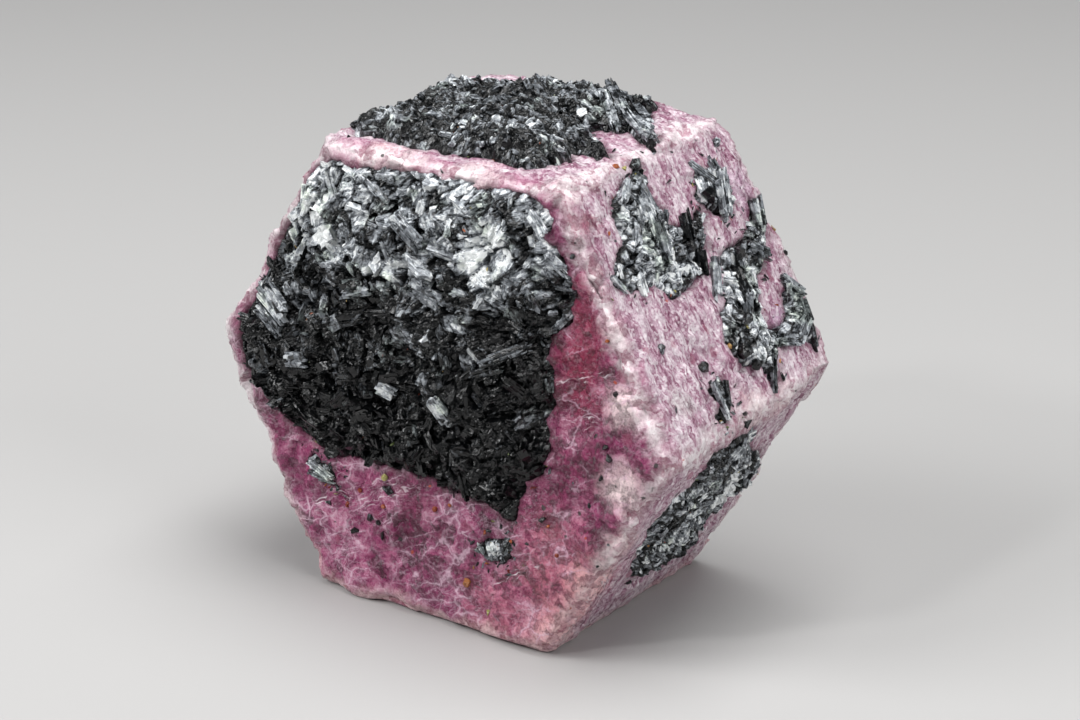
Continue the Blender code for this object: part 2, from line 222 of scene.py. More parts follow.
# The black masses, as the solids have them: outline across and up the face in millimetres, crown the
# height that the mass swells to over soft millimetres, step the grid of its core, facet the size of the
# core's broken facets and rough their height. Plates, laths and chips are spacing, smallest and largest
# size; blades are placed one by one (across, up, length, width, turn, tone), and so are lumps (across,
# up, size, tone). Tone is the share of pale grey on the cleavage faces, partly the rock's own tone and
# partly painted sheen; rise is its growth above the middle height, painted light on the upper half;
# shades are its changes round single places (across, up, radius, change), painted shade where they
# darken and painted sheen where they lighten. Tinted is the share of coloured chips, 0.035 where none
# is given.
masses = {
    "amphibole_front": {
        "face": "front", "crown": 4.2, "soft": 8.0, "step": 0.24, "facet": 3.4, "rough": 0.8,
        # rise pales the upper half above the middle height: painted light where the mass faces up to the
        # lamps
        "tone": 0.58, "rise": 0.025, "middle": 14.0,
        "plates": (3.0, 0.6, 1.5), "laths": (4.2, 0.7, 1.3), "chips": (1.5, 0.15, 0.45),
        # shades: painted shade in dark crevice regions where negative, painted sheen on plates where positive
        "shades": [
            (17.8, 14, 4, -0.5), (13, 6, 4.5, -0.35), (17, 4, 4, -0.3), (-9, 8, 3.5, -0.35),
            (-21, 17.5, 4, 0.2), (2, 9, 4, 0.15), (-24, 6, 4, 0.2), (7, -6, 3, 0.2), (0, 2, 9, -0.1),
        ],
        "blades": [
            (-26.4, 6.2, 6.4, 2, -29, 0.86), (-27.4, 3.6, 5, 1.6, -33, 0.74),
            (-24.2, 7.6, 4.6, 1.4, -24, 0.80), (16.9, 25.2, 4, 1.4, -42, 0.84),
            (13.3, 7.9, 6.5, 1.3, 28, 0.50), (11, 5.4, 5.5, 1.2, 24, 0.42),
            (15.2, 10.6, 4, 1.1, 30, 0.46), (4.2, -1.4, 4.2, 1.8, -70, 0.85),
            (-5, -0.5, 2.6, 2, -27, 0.88), (1.5, 13.5, 5, 2.2, -15, 0.70),
            (-9.5, 12.5, 4.6, 2.4, 15, 0.66), (-14, 6.5, 4, 2, 35, 0.60), (-20, 0.5, 3.4, 1.8, 10, 0.66),
            (5.5, 10.6, 4, 2, 5, 0.76), (-1.5, 21, 4.6, 2, -30, 0.70),
        ],
        "outline": [
            (-18.5, 26.5), (-11.5, 27), (-3, 28), (6, 27.8), (14, 27.8), (18.4, 25.8), (17, 23.2),
            (20.2, 21.4), (21.3, 16.5), (20.6, 12.6), (18, 10.8), (18.7, 4.5), (17.6, -0.5), (18.8, -5),
            (15.4, -9.3), (13.6, -14.2), (6.5, -13.2), (-2.5, -12), (-12, -12.2), (-17, -13),
            (-24, -10.6), (-30, -6.6), (-32.8, -1), (-32.2, 3.8), (-28.3, 10.4), (-24.8, 17),
            (-22.4, 22.4),
        ],
    },
    "amphibole_top": {
        "face": "top", "crown": 3.6, "soft": 2.6, "step": 0.22, "facet": 2.1, "rough": 0.8, "tone": 0.59,
        "plates": (1.9, 0.35, 0.9), "laths": (2.6, 0.4, 0.9), "chips": (0.95, 0.12, 0.32),
        "blades": [
            (10.2, 11.2, 8.5, 1.4, -40, 0.55), (15.4, 8.6, 9, 1.3, -37, 0.72),
            (16, 6.6, 7.5, 1, -35, 0.62), (13.2, 12.6, 6.5, 1.2, -38, 0.66),
            (11, 8.2, 7, 1.2, -42, 0.70),
        ],
        "outline": [
            (-19, -7.6), (-10, -9.8), (-3, -10.4), (4, -9.6), (11, -10.3), (14.2, -7), (12.4, -2.6),
            (17.6, -1.2), (13.6, 2), (10.2, 5.2), (13.6, 6.2), (20, 4.6), (17.6, 8.4), (13.4, 11.8),
            (11.4, 18.4), (4, 19.6), (-4, 18.2), (-10, 14.6), (-14.8, 9.4), (-17.4, 3), (-19, -3),
        ],
    },
    "amphibole_wedge": {
        "face": "upperRight", "crown": 0.9, "soft": 2.0, "step": 0.2, "facet": 2.0, "rough": 0.8,
        "tone": 0.85, "tinted": 0.06,
        "plates": (1.9, 0.3, 0.8), "laths": (2.2, 0.4, 0.9), "chips": (0.95, 0.12, 0.32),
        "blades": [
            (-14.1, -4.8, 4.1, 1.2, -56, 0.78), (-12.4, -1.2, 5.6, 1.5, 5, 0.74),
            (-10.4, -3, 5.6, 1.3, 2, 0.80), (-6.5, -2.1, 5.1, 1.6, 4, 0.66),
            (-7, 4, 4.4, 1.6, -17, 0.30), (-2.4, 4.4, 3.6, 1.8, -20, 0.28),
            (-3.8, -12.1, 2.8, 0.7, 30, 0.84), (-2.1, -8.6, 1.9, 1.1, 7, 0.99),
            (-8.8, -6, 3.6, 1.2, -30, 0.72),
        ],
        "lumps": [(-16.8, -0.5, 1.9, 0.45), (-4.6, 2.4, 1.7, 0.25)],
        "outline": [
            (-17, 0.2), (-12, 0.8), (-8.1, 1.4), (-7.2, 5.2), (-8.4, 8), (-5.5, 7.6), (-2, 5.2),
            (-0.4, 0.6), (0.6, -3), (-1.6, -6.4), (-2.2, -10.4), (-3.6, -13), (-6.2, -10.6), (-9, -8.4),
            (-13.2, -7.6), (-15.2, -3.2),
        ],
    },
    "amphibole_blades": {
        "face": "upperRight", "crown": 1.2, "soft": 1.5, "step": 0.2, "facet": 1.9, "rough": 0.7,
        "tone": 0.78,
        "plates": (1.5, 0.4, 0.8), "laths": (1.5, 0.5, 0.9), "chips": (0.75, 0.18, 0.4),
        "blades": [
            (-9.2, 13, 6.9, 1.7, -10, 0.86), (-8.6, 11.4, 5.6, 1.4, -8, 0.74),
            (-12.6, 10.6, 4.6, 1.2, 33, 0.60), (-12.4, 13, 3.6, 1.1, -5, 0.68),
        ],
        "lumps": [(-9.7, 9.1, 2.3, 0.2)],
        "outline": [
            (-15, 8.8), (-13.2, 11.2), (-12.4, 14.4), (-9.8, 15.2), (-6.2, 13.6), (-7.4, 11),
            (-9.8, 8.2), (-12.4, 9.8),
        ],
    },
    "amphibole_branch": {
        "face": "upperRight", "crown": 1.0, "soft": 1.8, "step": 0.2, "facet": 2.0, "rough": 0.8,
        "tone": 0.95,
        "plates": (1.9, 0.3, 0.8), "laths": (2.2, 0.4, 0.9), "chips": (0.95, 0.12, 0.32),
        "blades": [
            (-5.2, 17.8, 4.4, 1.9, -21, 0.72), (0.4, 5.8, 5.6, 1.5, -28, 0.76),
            (1.8, 9.7, 4.4, 1.7, -9, 0.30), (5.4, 19, 4, 1, 40, 0.66), (8.6, 19.4, 3.4, 1.3, -16, 0.60),
            (10.9, 17.2, 3.9, 1.5, -52, 0.70), (11.3, 13.6, 4.2, 1.3, -107, 0.64),
            (14.1, 8.3, 5.4, 0.8, -20, 0.52), (12.6, 19.2, 3.4, 0.8, 2, 0.46),
            (-0.6, 14.6, 4, 1.6, 60, 0.58), (5.4, 8.4, 4.4, 1.4, -30, 0.66),
        ],
        "lumps": [
            (10.1, 3.4, 2.4, 0.25), (12.2, 5.2, 1.7, 0.22), (-1.4, 10.4, 2, 0.28), (6.6, 5.4, 2, 0.35),
        ],
        "outline": [
            (-7.4, 17.9), (-6.4, 19.6), (-2.4, 18.9), (0.5, 16.6), (2, 13.6), (5.2, 12.2), (8.4, 11.2),
            (9, 15.2), (6.6, 17), (4, 18.8), (7, 20.2), (13.6, 20.2), (11.8, 17.6), (11.8, 11.4),
            (15.6, 9), (12.8, 7.2), (12.2, 4.8), (10, 2.6), (6.2, 3), (3, 6.2), (-1.6, 8.2),
            (-2.8, 12.2), (-4.6, 16.2),
        ],
    },
    "amphibole_sliver": {
        "face": "upperRight", "crown": 0.5, "soft": 1.0, "step": 0.2, "facet": 1.2, "rough": 0.5,
        "tone": 0.72,
        "plates": (1.0, 0.3, 0.6), "laths": (1.0, 0.35, 0.6), "chips": (0.6, 0.12, 0.3),
        "blades": [(14.4, -3.6, 4.6, 0.8, 3, 0.82), (14, -2.5, 3.6, 0.6, -12, 0.4)],
        "outline": [(11.4, -2.6), (12.6, -1.4), (15.4, -1.8), (17.2, -3.6), (14.6, -4.2), (12.6, -4)],
    },
    "amphibole_band": {
        "face": "lowerRight", "crown": 1.0, "soft": 2.2, "step": 0.22, "facet": 2.1, "rough": 0.8,
        "tone": 0.70, "tinted": 0.08,
        "plates": (2.0, 0.35, 0.9), "laths": (2.4, 0.4, 0.9), "chips": (1.0, 0.12, 0.32),
        "outline": [
            (-16.6, -2), (-15.6, 2.6), (-10.4, 6.2), (-5.4, 13.8), (-1.2, 17), (0.8, 12.4), (3.6, 8),
            (8, 8.4), (10.8, 5.6), (8.8, -2), (7.4, -8.6), (3.4, -10.2), (-1, -13), (-5, -13.2),
            (-9.2, -12.6), (-11, -9.2), (-15.4, -8.6),
        ],
    },
    "amphibole_knot": {
        "face": "front", "crown": 0.7, "soft": 1.0, "step": 0.2, "facet": 1.2, "rough": 0.3,
        "tone": 0.64, "tinted": 0.22,
        "plates": (1.0, 0.3, 0.6), "laths": (1.3, 0.3, 0.6), "chips": (0.6, 0.15, 0.35),
        "outline": [
            (7.6, -19.8), (9.6, -17.9), (13.4, -16.6), (14.4, -18.2), (12.6, -20.8), (9.6, -21.2),
        ],
    },
    "amphibole_flake": {
        "face": "front", "crown": 0.5, "soft": 1.0, "step": 0.2, "facet": 1.2, "rough": 0.2, "tone": 0.76,
        "plates": (1.2, 0.3, 0.6), "laths": (1.2, 0.4, 0.7), "chips": (0.8, 0.15, 0.3),
        "blades": [(-18.7, -15.4, 4.4, 1, -15, 0.88), (-18.3, -16.2, 3.8, 0.7, -12, 0.70)],
        "outline": [(-21.4, -14.2), (-18.6, -14.2), (-16.2, -16), (-17.4, -17.4), (-20.4, -16.2)],
    },
    "amphibole_left": {
        "face": "upperLeft", "crown": 1.0, "soft": 2.0, "step": 0.24, "facet": 2.3, "rough": 0.8,
        "tone": 0.62,
        "plates": (1.5, 0.55, 1.1), "laths": (1.7, 0.6, 1.1), "chips": (0.85, 0.18, 0.45),
        "blades": [
            (6.6, -2.4, 4.6, 1.8, 62, 0.62), (7.6, -3.8, 3.4, 1.3, 8, 0.50),
            (7.2, -0.4, 3, 1.2, -35, 0.72), (-6.6, -8.2, 4.4, 1.2, 24, 0.66),
            (9.6, 3.6, 3.8, 1, 50, 0.58), (-0.6, 6.6, 4.2, 1.3, 80, 0.48),
        ],
        "lumps": [(8.6, -1.8, 1.9, 0.3), (-8.6, -6.4, 1.6, 0.5), (11.6, 5.6, 1.3, 0.4)],
        "outline": [
            (-6, -9), (1, -11), (6.5, -7.5), (5, -2), (8.5, 2.5), (4, 7), (-2, 4.5), (-4.5, -1.5),
            (-8, -4),
        ],
    },
    "amphibole_back": {
        "face": "back", "crown": 1.8, "soft": 4.0, "step": 0.26, "facet": 3.2, "rough": 0.8, "tone": 0.58,
        "plates": (3.0, 0.6, 1.5), "laths": (4.0, 0.7, 1.3), "chips": (1.5, 0.15, 0.45),
        "blades": [
            (10.6, 1, 6.4, 1.8, 30, 0.66), (9.4, 4.4, 4.6, 1.6, -12, 0.52),
            (-13.6, -1.4, 6.2, 1.7, 48, 0.70), (-16.6, 15.2, 5.2, 1.6, 40, 0.60),
            (13.4, 14.6, 5.8, 1.5, -40, 0.72), (5.4, -10.6, 5.4, 1.4, -58, 0.58),
            (-8, -9, 4.4, 1.3, 75, 0.64), (-3, 6, 5.4, 2.2, 20, 0.60), (2, 13, 5, 2.2, -35, 0.68),
        ],
        "lumps": [
            (11.4, -2.6, 2.2, 0.35), (-18.6, 7, 1.8, 0.4), (14.6, 4.6, 1.4, 0.5),
            (-11.6, -6.4, 1.7, 0.3),
        ],
        "outline": [
            (-16, 12), (-8, 18.5), (1, 20), (9.5, 16.5), (12, 9), (7, 3.5), (8, -3.5), (2, -9), (-6, -7),
            (-10, -1), (-17, 2.5),
        ],
    },
    "amphibole_back_corner": {
        "face": "back", "crown": 0.8, "soft": 1.6, "step": 0.26, "facet": 1.6, "rough": 0.4, "tone": 0.68,
        "plates": (1.3, 0.45, 0.9), "laths": (1.5, 0.5, 1.0), "chips": (0.75, 0.18, 0.4),
        "outline": [(15, -16), (19, -13), (22, -16.5), (20, -21), (15.5, -22.5), (12.5, -19)],
    },
}
outlineStep, rimRagged = 1.7 * mm, 0.4 * mm


def raggedLoop(outline, seed):
    # The rim of a mass: a closed Catmull-Rom curve through its outline, strayed a little at each point
    corners = [Vector(p) * mm for p in outline]
    loop = []
    for k, start in enumerate(corners):
        before, end, after = corners[k - 1], corners[(k + 1) % len(corners)], corners[(k + 2) % len(corners)]
        pieces = max(1, round((end - start).length / outlineStep))
        for i in range(pieces):
            t = i / pieces
            bend = (2 * before - 5 * start + 4 * end - after) * t**2
            bend += (3 * start - before - 3 * end + after) * t**3
            loop.append(start + ((end - before) * t + bend) / 2)
    area = sum(a.x * b.y - b.x * a.y for a, b in zip(loop, loop[1:] + loop[:1]))
    side = 1 if area > 0 else -1
    chance = random.Random(seed)
    strayed = []
    for k, point in enumerate(loop):
        along = (loop[(k + 1) % len(loop)] - loop[k - 1]).normalized()
        strayed.append(point + Vector((along.y, -along.x)) * side * rimRagged * chance.uniform(-1, 1))
    return np.array(strayed)


def depthInside(places, loop):
    # Distance of each place from the loop, positive inside it
    ahead = np.roll(loop, -1, axis=0)
    along = ahead - loop
    offset = places[:, None, :] - loop[None]
    t = np.clip((offset * along).sum(2) / (along**2).sum(1), 0, 1)
    gap = np.linalg.norm(offset - t[..., None] * along, axis=2).min(1)
    y = places[:, None, 1]
    spans = (loop[None, :, 1] > y) != (ahead[None, :, 1] > y)
    rise = np.where(along[:, 1] == 0, 1e-12, along[:, 1])
    crossing = loop[None, :, 0] + (y - loop[None, :, 1]) / rise * along[None, :, 0]
    inside = (spans & (places[:, None, 0] < crossing)).sum(1) % 2 == 1
    return np.where(inside, gap, -gap)


for seed, mass in enumerate(masses.values()):
    mass["loop"] = raggedLoop(mass["outline"], seed)
    mass["seed"] = seed


# Mesh helpers

def link(obj):
    bpy.context.scene.collection.objects.link(obj)
    return obj


def meshObject(name, verts, faces, attributes=None):
    data = bpy.data.meshes.new(name)
    data.from_pydata([tuple(v) for v in verts], [], faces)
    for key, values in (attributes or {}).items():
        values = np.asarray(values, dtype=np.float32)
        kind = "FLOAT" if values.ndim == 1 else "FLOAT_VECTOR"
        field = "value" if values.ndim == 1 else "vector"
        data.attributes.new(key, kind, "POINT").data.foreach_set(field, values.ravel())
    data.update()
    return link(bpy.data.objects.new(name, data))


# The ruby

def corner(*faces):
    normals = np.array([planes[f][0] for f in faces])
    return np.linalg.solve(normals, np.array([planes[f][1] for f in faces]))


def sharpCrystal(cells):
    mesh = bmesh.new()
    sides = list(sideFaces)
    rings = {}
    for end in endFaces:
        ring = [mesh.verts.new(corner(sides[k - 1], sides[k], end)) for k in range(6)]
        middle = mesh.verts.new(planes[end][0] * planes[end][1])
        rings[end] = ring
        for k in (0, 2, 4):
            mesh.faces.new([middle, ring[k], ring[k + 1], ring[(k + 2) % 6]])
    for k in range(6):
        ahead = (k + 1) % 6
        mesh.faces.new([rings["front"][k], rings["front"][ahead], rings["back"][ahead], rings["back"][k]])
    bmesh.ops.recalc_face_normals(mesh, faces=mesh.faces)
    bmesh.ops.subdivide_edges(mesh, edges=mesh.edges[:], cuts=cells - 1, use_grid_fill=True)
    points = np.array([v.co for v in mesh.verts])
    faces = [[v.index for v in f.verts] for f in mesh.faces]
    mesh.free()
    return points, faces


def makeRuby():
    sharp, faces = sharpCrystal(88)
    radius = wearAt(sharp)
    inner = shrunkPoint(sharp, radius)
    outward = sharp - inner
    outward /= np.linalg.norm(outward, axis=1)[:, None]
    low = 1 - smoothStep(-outward[:, 2], 0.8, 0.98)
    height = relief(sharp, outward) * np.clip((1 + outward[:, 2] - 0.14) * 6.5, 0, 1)
    over = np.sort(sharp @ planeNormals.T - planeDistances, axis=1)
    low *= 0.25 + 0.75 * smoothStep(sharp[:, 2] + axisHeight, 0, 6 * mm)
    height += low * fineRelief(sharp, outward, -over[:, -2])
    surface = inner + outward * (radius + height)[:, None]
    surface[:, 2] = np.maximum(surface[:, 2], -axisHeight)
    tree = BVHTree.FromPolygons([Vector(p) for p in surface], faces)

    nearest = np.argmax(sharp @ planeNormals.T - planeDistances, axis=1)
    edge = -over[:, -2] / mm
    rim = np.full(len(sharp), -20.0)
    frayed = 0.9 * noiseAt(sharp, 1.7 * mm, (2, 0, 0)) + 0.4 * noiseAt(sharp, 0.75 * mm, (0, 4, 0))
    for mass in masses.values():
        middle, x, y, out = faceFrame(mass["face"])
        mine = np.nonzero(nearest == faceNames.index(mass["face"]))[0]
        offset = surface[mine] - np.array(middle)
        places = np.stack([offset @ np.array(x), offset @ np.array(y)], 1)
        reach = np.abs(places - mass["loop"].mean(0)).max(1) < 60 * mm
        mine, places = mine[reach], places[reach]
        rim[mine] = np.maximum(rim[mine], depthInside(places, mass["loop"]) / mm + frayed[mine])
    surface -= outward * (1.6 * mm * smoothStep(rim, -0.1, 0.8))[:, None]
    surface[:, 2] += axisHeight
    surface[:, 2] = np.maximum(surface[:, 2], 0)
    side = 1 - np.minimum(1.0, np.abs(outward[:, 1]) * 1.6)
    obj = meshObject("rubyCrystal", surface, faces, {"edge": edge, "rim": rim, "side": side})
    obj.data.shade_smooth()
    return obj, tree


ruby, rubyTree = makeRuby()
print("ruby made:", len(ruby.data.polygons), "faces")


# Grain shapes: x is the long way, z is out of the rock

def looseVector(chance):
    return Vector([chance.gauss(0, 1) for _ in range(3)])


def raggedRing(chance, centre, size):
    # A splintery outline: four to six straight sides whose edges are notched
    corners = chance.randint(4, 6)
    points = []
    for k in range(corners):
        angle = math.tau * (k + chance.uniform(-0.32, 0.32)) / corners
        points.append(Vector((1.35 * math.cos(angle), 0.8 * math.sin(angle))) * chance.uniform(0.8, 1.15))
    ring = []
    for here, ahead in zip(points, points[1:] + points[:1]):
        for t in (0, 0.35, 0.7):
            ring.append(centre + here.lerp(ahead, t) * size * (1 - chance.uniform(0, 0.16)))
    return ring


def plateShape(chance):
    # A notched cleavage plate with broken steps on it
    verts, faces = [], []
    centre, size, floor = Vector((0, 0)), 1.0, -0.8
    for level in range(chance.choice([2, 2, 3])):
        top = 0.12 if level == 0 else floor + chance.uniform(0.06, 0.2)
        slope = Vector((chance.uniform(-0.09, 0.09), chance.uniform(-0.12, 0.12)))
        ring = raggedRing(chance, centre, size)
        start, count = len(verts), len(ring)
        verts += [(p.x * 0.94, p.y * 0.94, floor - 0.05) for p in ring]
        verts += [(p.x, p.y, top + slope.dot(p - centre)) for p in ring]
        for k in range(count):
            ahead = (k + 1) % count
            faces.append((start + k, start + ahead, start + count + ahead, start + count + k))
        faces.append(tuple(start + count + k for k in range(count)))
        centre = centre + Vector((chance.uniform(-0.35, 0.35), chance.uniform(-0.25, 0.25))) * size
        size *= chance.uniform(0.6, 0.82)
        floor = top
    return verts, faces


def lathShape(chance):
    # A bundle of parallel splinters of differing heights, which reads as a striated cleavage face
    verts, faces = [], []
    y = -0.55
    while y < 0.5:
        width = chance.uniform(0.1, 0.26)
        low, high = -chance.uniform(0.8, 1.5), chance.uniform(0.8, 1.5)
        top = chance.uniform(0.05, 0.3)
        tilt = chance.uniform(-0.06, 0.06)
        roll = chance.uniform(-0.05, 0.05)
        a = len(verts)
        for x, lift in ((low, tilt), (high, -tilt)):
            skew = chance.uniform(-0.2, 0.2)
            verts += [
                (x, y, -0.6), (x + skew, y + width, -0.6),
                (x + skew, y + width, top + lift + roll), (x, y, top + lift - roll),
            ]
        faces += [
            (a + 3, a + 2, a + 1, a), (a + 4, a + 5, a + 6, a + 7), (a + 2, a + 3, a + 7, a + 6),
            (a, a + 4, a + 7, a + 3), (a + 1, a + 2, a + 6, a + 5),
        ]
        y += width * 0.97
    return verts, faces


def chipShape(chance, corners=7):
    # A small blocky crumb with flat faces
    mesh = bmesh.new()
    for _ in range(corners):
        direction = looseVector(chance).normalized()
        mesh.verts.new(Vector((direction.x * 1.4, direction.y * 0.85, direction.z * 0.6)))
    bmesh.ops.convex_hull(mesh, input=mesh.verts)
    loose = [v for v in mesh.verts if not v.link_faces]
    bmesh.ops.delete(mesh, geom=loose, context="VERTS")
    bmesh.ops.recalc_face_normals(mesh, faces=mesh.faces)
    mesh.verts.index_update()
    verts = [tuple(v.co) for v in mesh.verts]
    faces = [tuple(v.index for v in f.verts) for f in mesh.faces]
    mesh.free()
    return verts, faces


def beadShape(chance):
    return chipShape(chance, 18)


shapeKinds = {  # each kind's maker and number of shapes
    "plates": (plateShape, 9), "laths": (lathShape, 7), "chips": (chipShape, 8), "beads": (beadShape, 4),
}
grainShapes = bpy.data.collections.new("grainShapes")
kindRange = {}
for kind, (build, count) in shapeKinds.items():
    kindRange[kind] = (len(grainShapes.objects), len(grainShapes.objects) + count - 1)
    for k in range(count):
        chance = random.Random(f"{kind}{k}")
        verts, faces = build(chance)
        local = np.array(verts) + np.array([chance.uniform(-9, 9) for _ in range(3)])
        made = meshObject(f"grain{len(grainShapes.objects):02d}", verts, faces, {"local": local})
        bpy.context.scene.collection.objects.unlink(made)
        grainShapes.objects.link(made)


# Geometry nodes that set a grain on each point, from the point's own attributes

def socketOf(group, name):
    return next(s.identifier for s in group.interface.items_tree if s.name == name)


def scatterGroup():
    group = bpy.data.node_groups.new("setGrains", "GeometryNodeTree")
    for name, kind, side in (
        ("Points", "NodeSocketGeometry", "INPUT"), ("Core", "NodeSocketObject", "INPUT"),
        ("Shapes", "NodeSocketCollection", "INPUT"), ("Finish", "NodeSocketMaterial", "INPUT"),
        ("Rock", "NodeSocketGeometry", "OUTPUT"),
    ):
        group.interface.new_socket(name=name, in_out=side, socket_type=kind)
    nodes, links = group.nodes, group.links
    source, result = nodes.new("NodeGroupInput"), nodes.new("NodeGroupOutput")
    shapes = nodes.new("GeometryNodeCollectionInfo")
    shapes.inputs["Separate Children"].default_value = True
    shapes.inputs["Reset Children"].default_value = True
    links.new(source.outputs["Shapes"], shapes.inputs["Collection"])
    placed = nodes.new("GeometryNodeInstanceOnPoints")
    placed.inputs["Pick Instance"].default_value = True
    links.new(source.outputs["Points"], placed.inputs["Points"])
    links.new(shapes.outputs[0], placed.inputs["Instance"])
    for name, kind, socket in (
        ("kind", "INT", "Instance Index"), ("turn", "FLOAT_VECTOR", "Rotation"),
        ("size", "FLOAT_VECTOR", "Scale"),
    ):
        read = nodes.new("GeometryNodeInputNamedAttribute")
        read.data_type = kind
        read.inputs["Name"].default_value = name
        links.new(read.outputs["Attribute"], placed.inputs[socket])
    real = nodes.new("GeometryNodeRealizeInstances")
    links.new(placed.outputs["Instances"], real.inputs["Geometry"])
    painted = nodes.new("GeometryNodeSetMaterial")
    links.new(real.outputs["Geometry"], painted.inputs["Geometry"])
    links.new(source.outputs["Finish"], painted.inputs["Material"])
    core = nodes.new("GeometryNodeObjectInfo")
    links.new(source.outputs["Core"], core.inputs["Object"])
    joined = nodes.new("GeometryNodeJoinGeometry")
    links.new(painted.outputs["Geometry"], joined.inputs["Geometry"])
    links.new(core.outputs["Geometry"], joined.inputs["Geometry"])
    links.new(joined.outputs["Geometry"], result.inputs["Rock"])
    return group


setGrains = scatterGroup()


def growGrains(name, grains, core, finish):
    # Each grain is its place, rotation, size, kind, tone and tint
    places, turns, sizes, kinds, tones, tints = zip(*grains)
    data = bpy.data.meshes.new(name)
    data.from_pydata([tuple(p) for p in places], [], [])
    turns = [c for turn in turns for c in turn.to_euler()]
    sizes = [c for size in sizes for c in size]
    for key, kind, field, values in (
        ("turn", "FLOAT_VECTOR", "vector", turns), ("size", "FLOAT_VECTOR", "vector", sizes),
        ("kind", "INT", "value", kinds), ("tone", "FLOAT", "value", tones), ("tint", "FLOAT", "value", tints),
    ):
        data.attributes.new(key, kind, "POINT").data.foreach_set(field, values)
    points = link(bpy.data.objects.new(name + "Points", data))
    grow = points.modifiers.new("grow", "NODES")
    grow.node_group = setGrains
    grow[socketOf(setGrains, "Core")] = core
    grow[socketOf(setGrains, "Shapes")] = grainShapes
    grow[socketOf(setGrains, "Finish")] = finish
    made = bpy.data.meshes.new_from_object(points.evaluated_get(bpy.context.evaluated_depsgraph_get()))
    for old in (points, core):
        if old:
            bpy.data.objects.remove(old)
    made.name = name
    for key in ("turn", "size", "kind"):
        if key in made.attributes:
            made.attributes.remove(made.attributes[key])
    return link(bpy.data.objects.new(name, made))


# Materials

def newMaterial(name):
    made = bpy.data.materials.new(name)
    made.use_nodes = True
    return made, made.node_tree, made.node_tree.nodes["Principled BSDF"]


def feed(tree, socket, value):
    if isinstance(value, bpy.types.NodeSocket):
        tree.links.new(value, socket)
    elif value is not None:
        socket.default_value = value


def addNode(tree, kind, inputs=(), **settings):
    node = tree.nodes.new(kind)
    for key, value in settings.items():
        setattr(node, key, value)
    for key, value in dict(inputs).items():
        feed(tree, node.inputs[key], value)
    return node


def maths(tree, operation, a, b=None, clamp=False):
    return addNode(tree, "ShaderNodeMath", {0: a, 1: b}, operation=operation, use_clamp=clamp).outputs[0]


def times(tree, a, b):
    return maths(tree, "MULTIPLY", a, b)


def larger(tree, a, b):
    return maths(tree, "MAXIMUM", a, b)


def summed(tree, *parts):
    # Sum of (value, share) pairs
    total = None
    for value, share in parts:
        part = times(tree, value, share)
        total = part if total is None else maths(tree, "ADD", total, part)
    return total


def vectorMaths(tree, operation, a, b=None, output=0):
    inputs = {0: a, "Scale" if operation == "SCALE" else 1: b}
    return addNode(tree, "ShaderNodeVectorMath", inputs, operation=operation).outputs[output]


def mixed(tree, factor, a, b, blend="MIX"):
    node = addNode(tree, "ShaderNodeMix", {0: factor, 6: a, 7: b}, data_type="RGBA", blend_type=blend)
    return node.outputs[2]


def laidOn(tree, colour, mask, share, tint, blend="MIX"):
    # The colour with a share of a tint over it, where the mask is
    return mixed(tree, times(tree, mask, share), colour, (*tint, 1), blend)


def ranged(tree, value, low, high, toLow=0.0, toHigh=1.0, smooth=True):
    inputs = {"Value": value, "From Min": low, "From Max": high, "To Min": toLow, "To Max": toHigh}
    kind = "SMOOTHSTEP" if smooth else "LINEAR"
    return addNode(tree, "ShaderNodeMapRange", inputs, interpolation_type=kind).outputs["Result"]


def ramp(tree, value, stops):
    node = addNode(tree, "ShaderNodeValToRGB", {"Fac": value})
    band = node.color_ramp
    while len(band.elements) < len(stops):
        band.elements.new(0.5)
    for element, (place, colour) in zip(band.elements, stops):
        element.position = place
        element.color = (*colour, 1.0)
    return node.outputs["Color"]


def attribute(tree, name, output="Fac"):
    return addNode(tree, "ShaderNodeAttribute", attribute_name=name).outputs[output]


def scaled(tree, vector, scale, turn=(0.0, 0.0, 0.0)):
    return addNode(tree, "ShaderNodeMapping", {"Vector": vector, "Scale": scale, "Rotation": turn}).outputs[0]


def noiseMap(tree, vector, scale, detail, rough, output="Fac"):
    inputs = {"Vector": vector, "Scale": scale, "Detail": detail, "Roughness": rough}
    return addNode(tree, "ShaderNodeTexNoise", inputs).outputs[output]


def cellEdges(tree, vector, scale):
    # Distance from the edges of random cells
    inputs = {"Vector": vector, "Scale": scale}
    return addNode(tree, "ShaderNodeTexVoronoi", inputs, feature="DISTANCE_TO_EDGE").outputs["Distance"]


def cellColours(tree, vector, scale):
    # A random colour in each cell
    inputs = {"Vector": vector, "Scale": scale}
    return addNode(tree, "ShaderNodeTexVoronoi", inputs, feature="F1").outputs["Color"]


def firstPart(tree, colour):
    return addNode(tree, "ShaderNodeSeparateColor", {0: colour}).outputs[0]


def cellValues(tree, vector, scale):
    return firstPart(tree, cellColours(tree, vector, scale))


def tippedNormal(tree, colour, tilt):
    # The surface's normal, tipped by a random amount in each cell, so that neighbouring facets shine apart
    tip = vectorMaths(tree, "SCALE", vectorMaths(tree, "SUBTRACT", colour, (0.5, 0.5, 0.5)), tilt)
    flat = addNode(tree, "ShaderNodeNewGeometry").outputs["Normal"]
    return vectorMaths(tree, "NORMALIZE", vectorMaths(tree, "ADD", flat, tip))


def dots(tree, vector, scale, share, radius, channel):
    # Small round spots in a share of the cells, with radius in cells
    node = addNode(tree, "ShaderNodeTexVoronoi", {"Vector": vector, "Scale": scale}, feature="F1")
    chosen = addNode(tree, "ShaderNodeSeparateColor", {0: node.outputs["Color"]}).outputs[channel]
    chosen = ranged(tree, chosen, 1 - share, 1 - share + 0.004, smooth=False)
    return times(tree, chosen, ranged(tree, node.outputs["Distance"], radius, radius * 0.7))


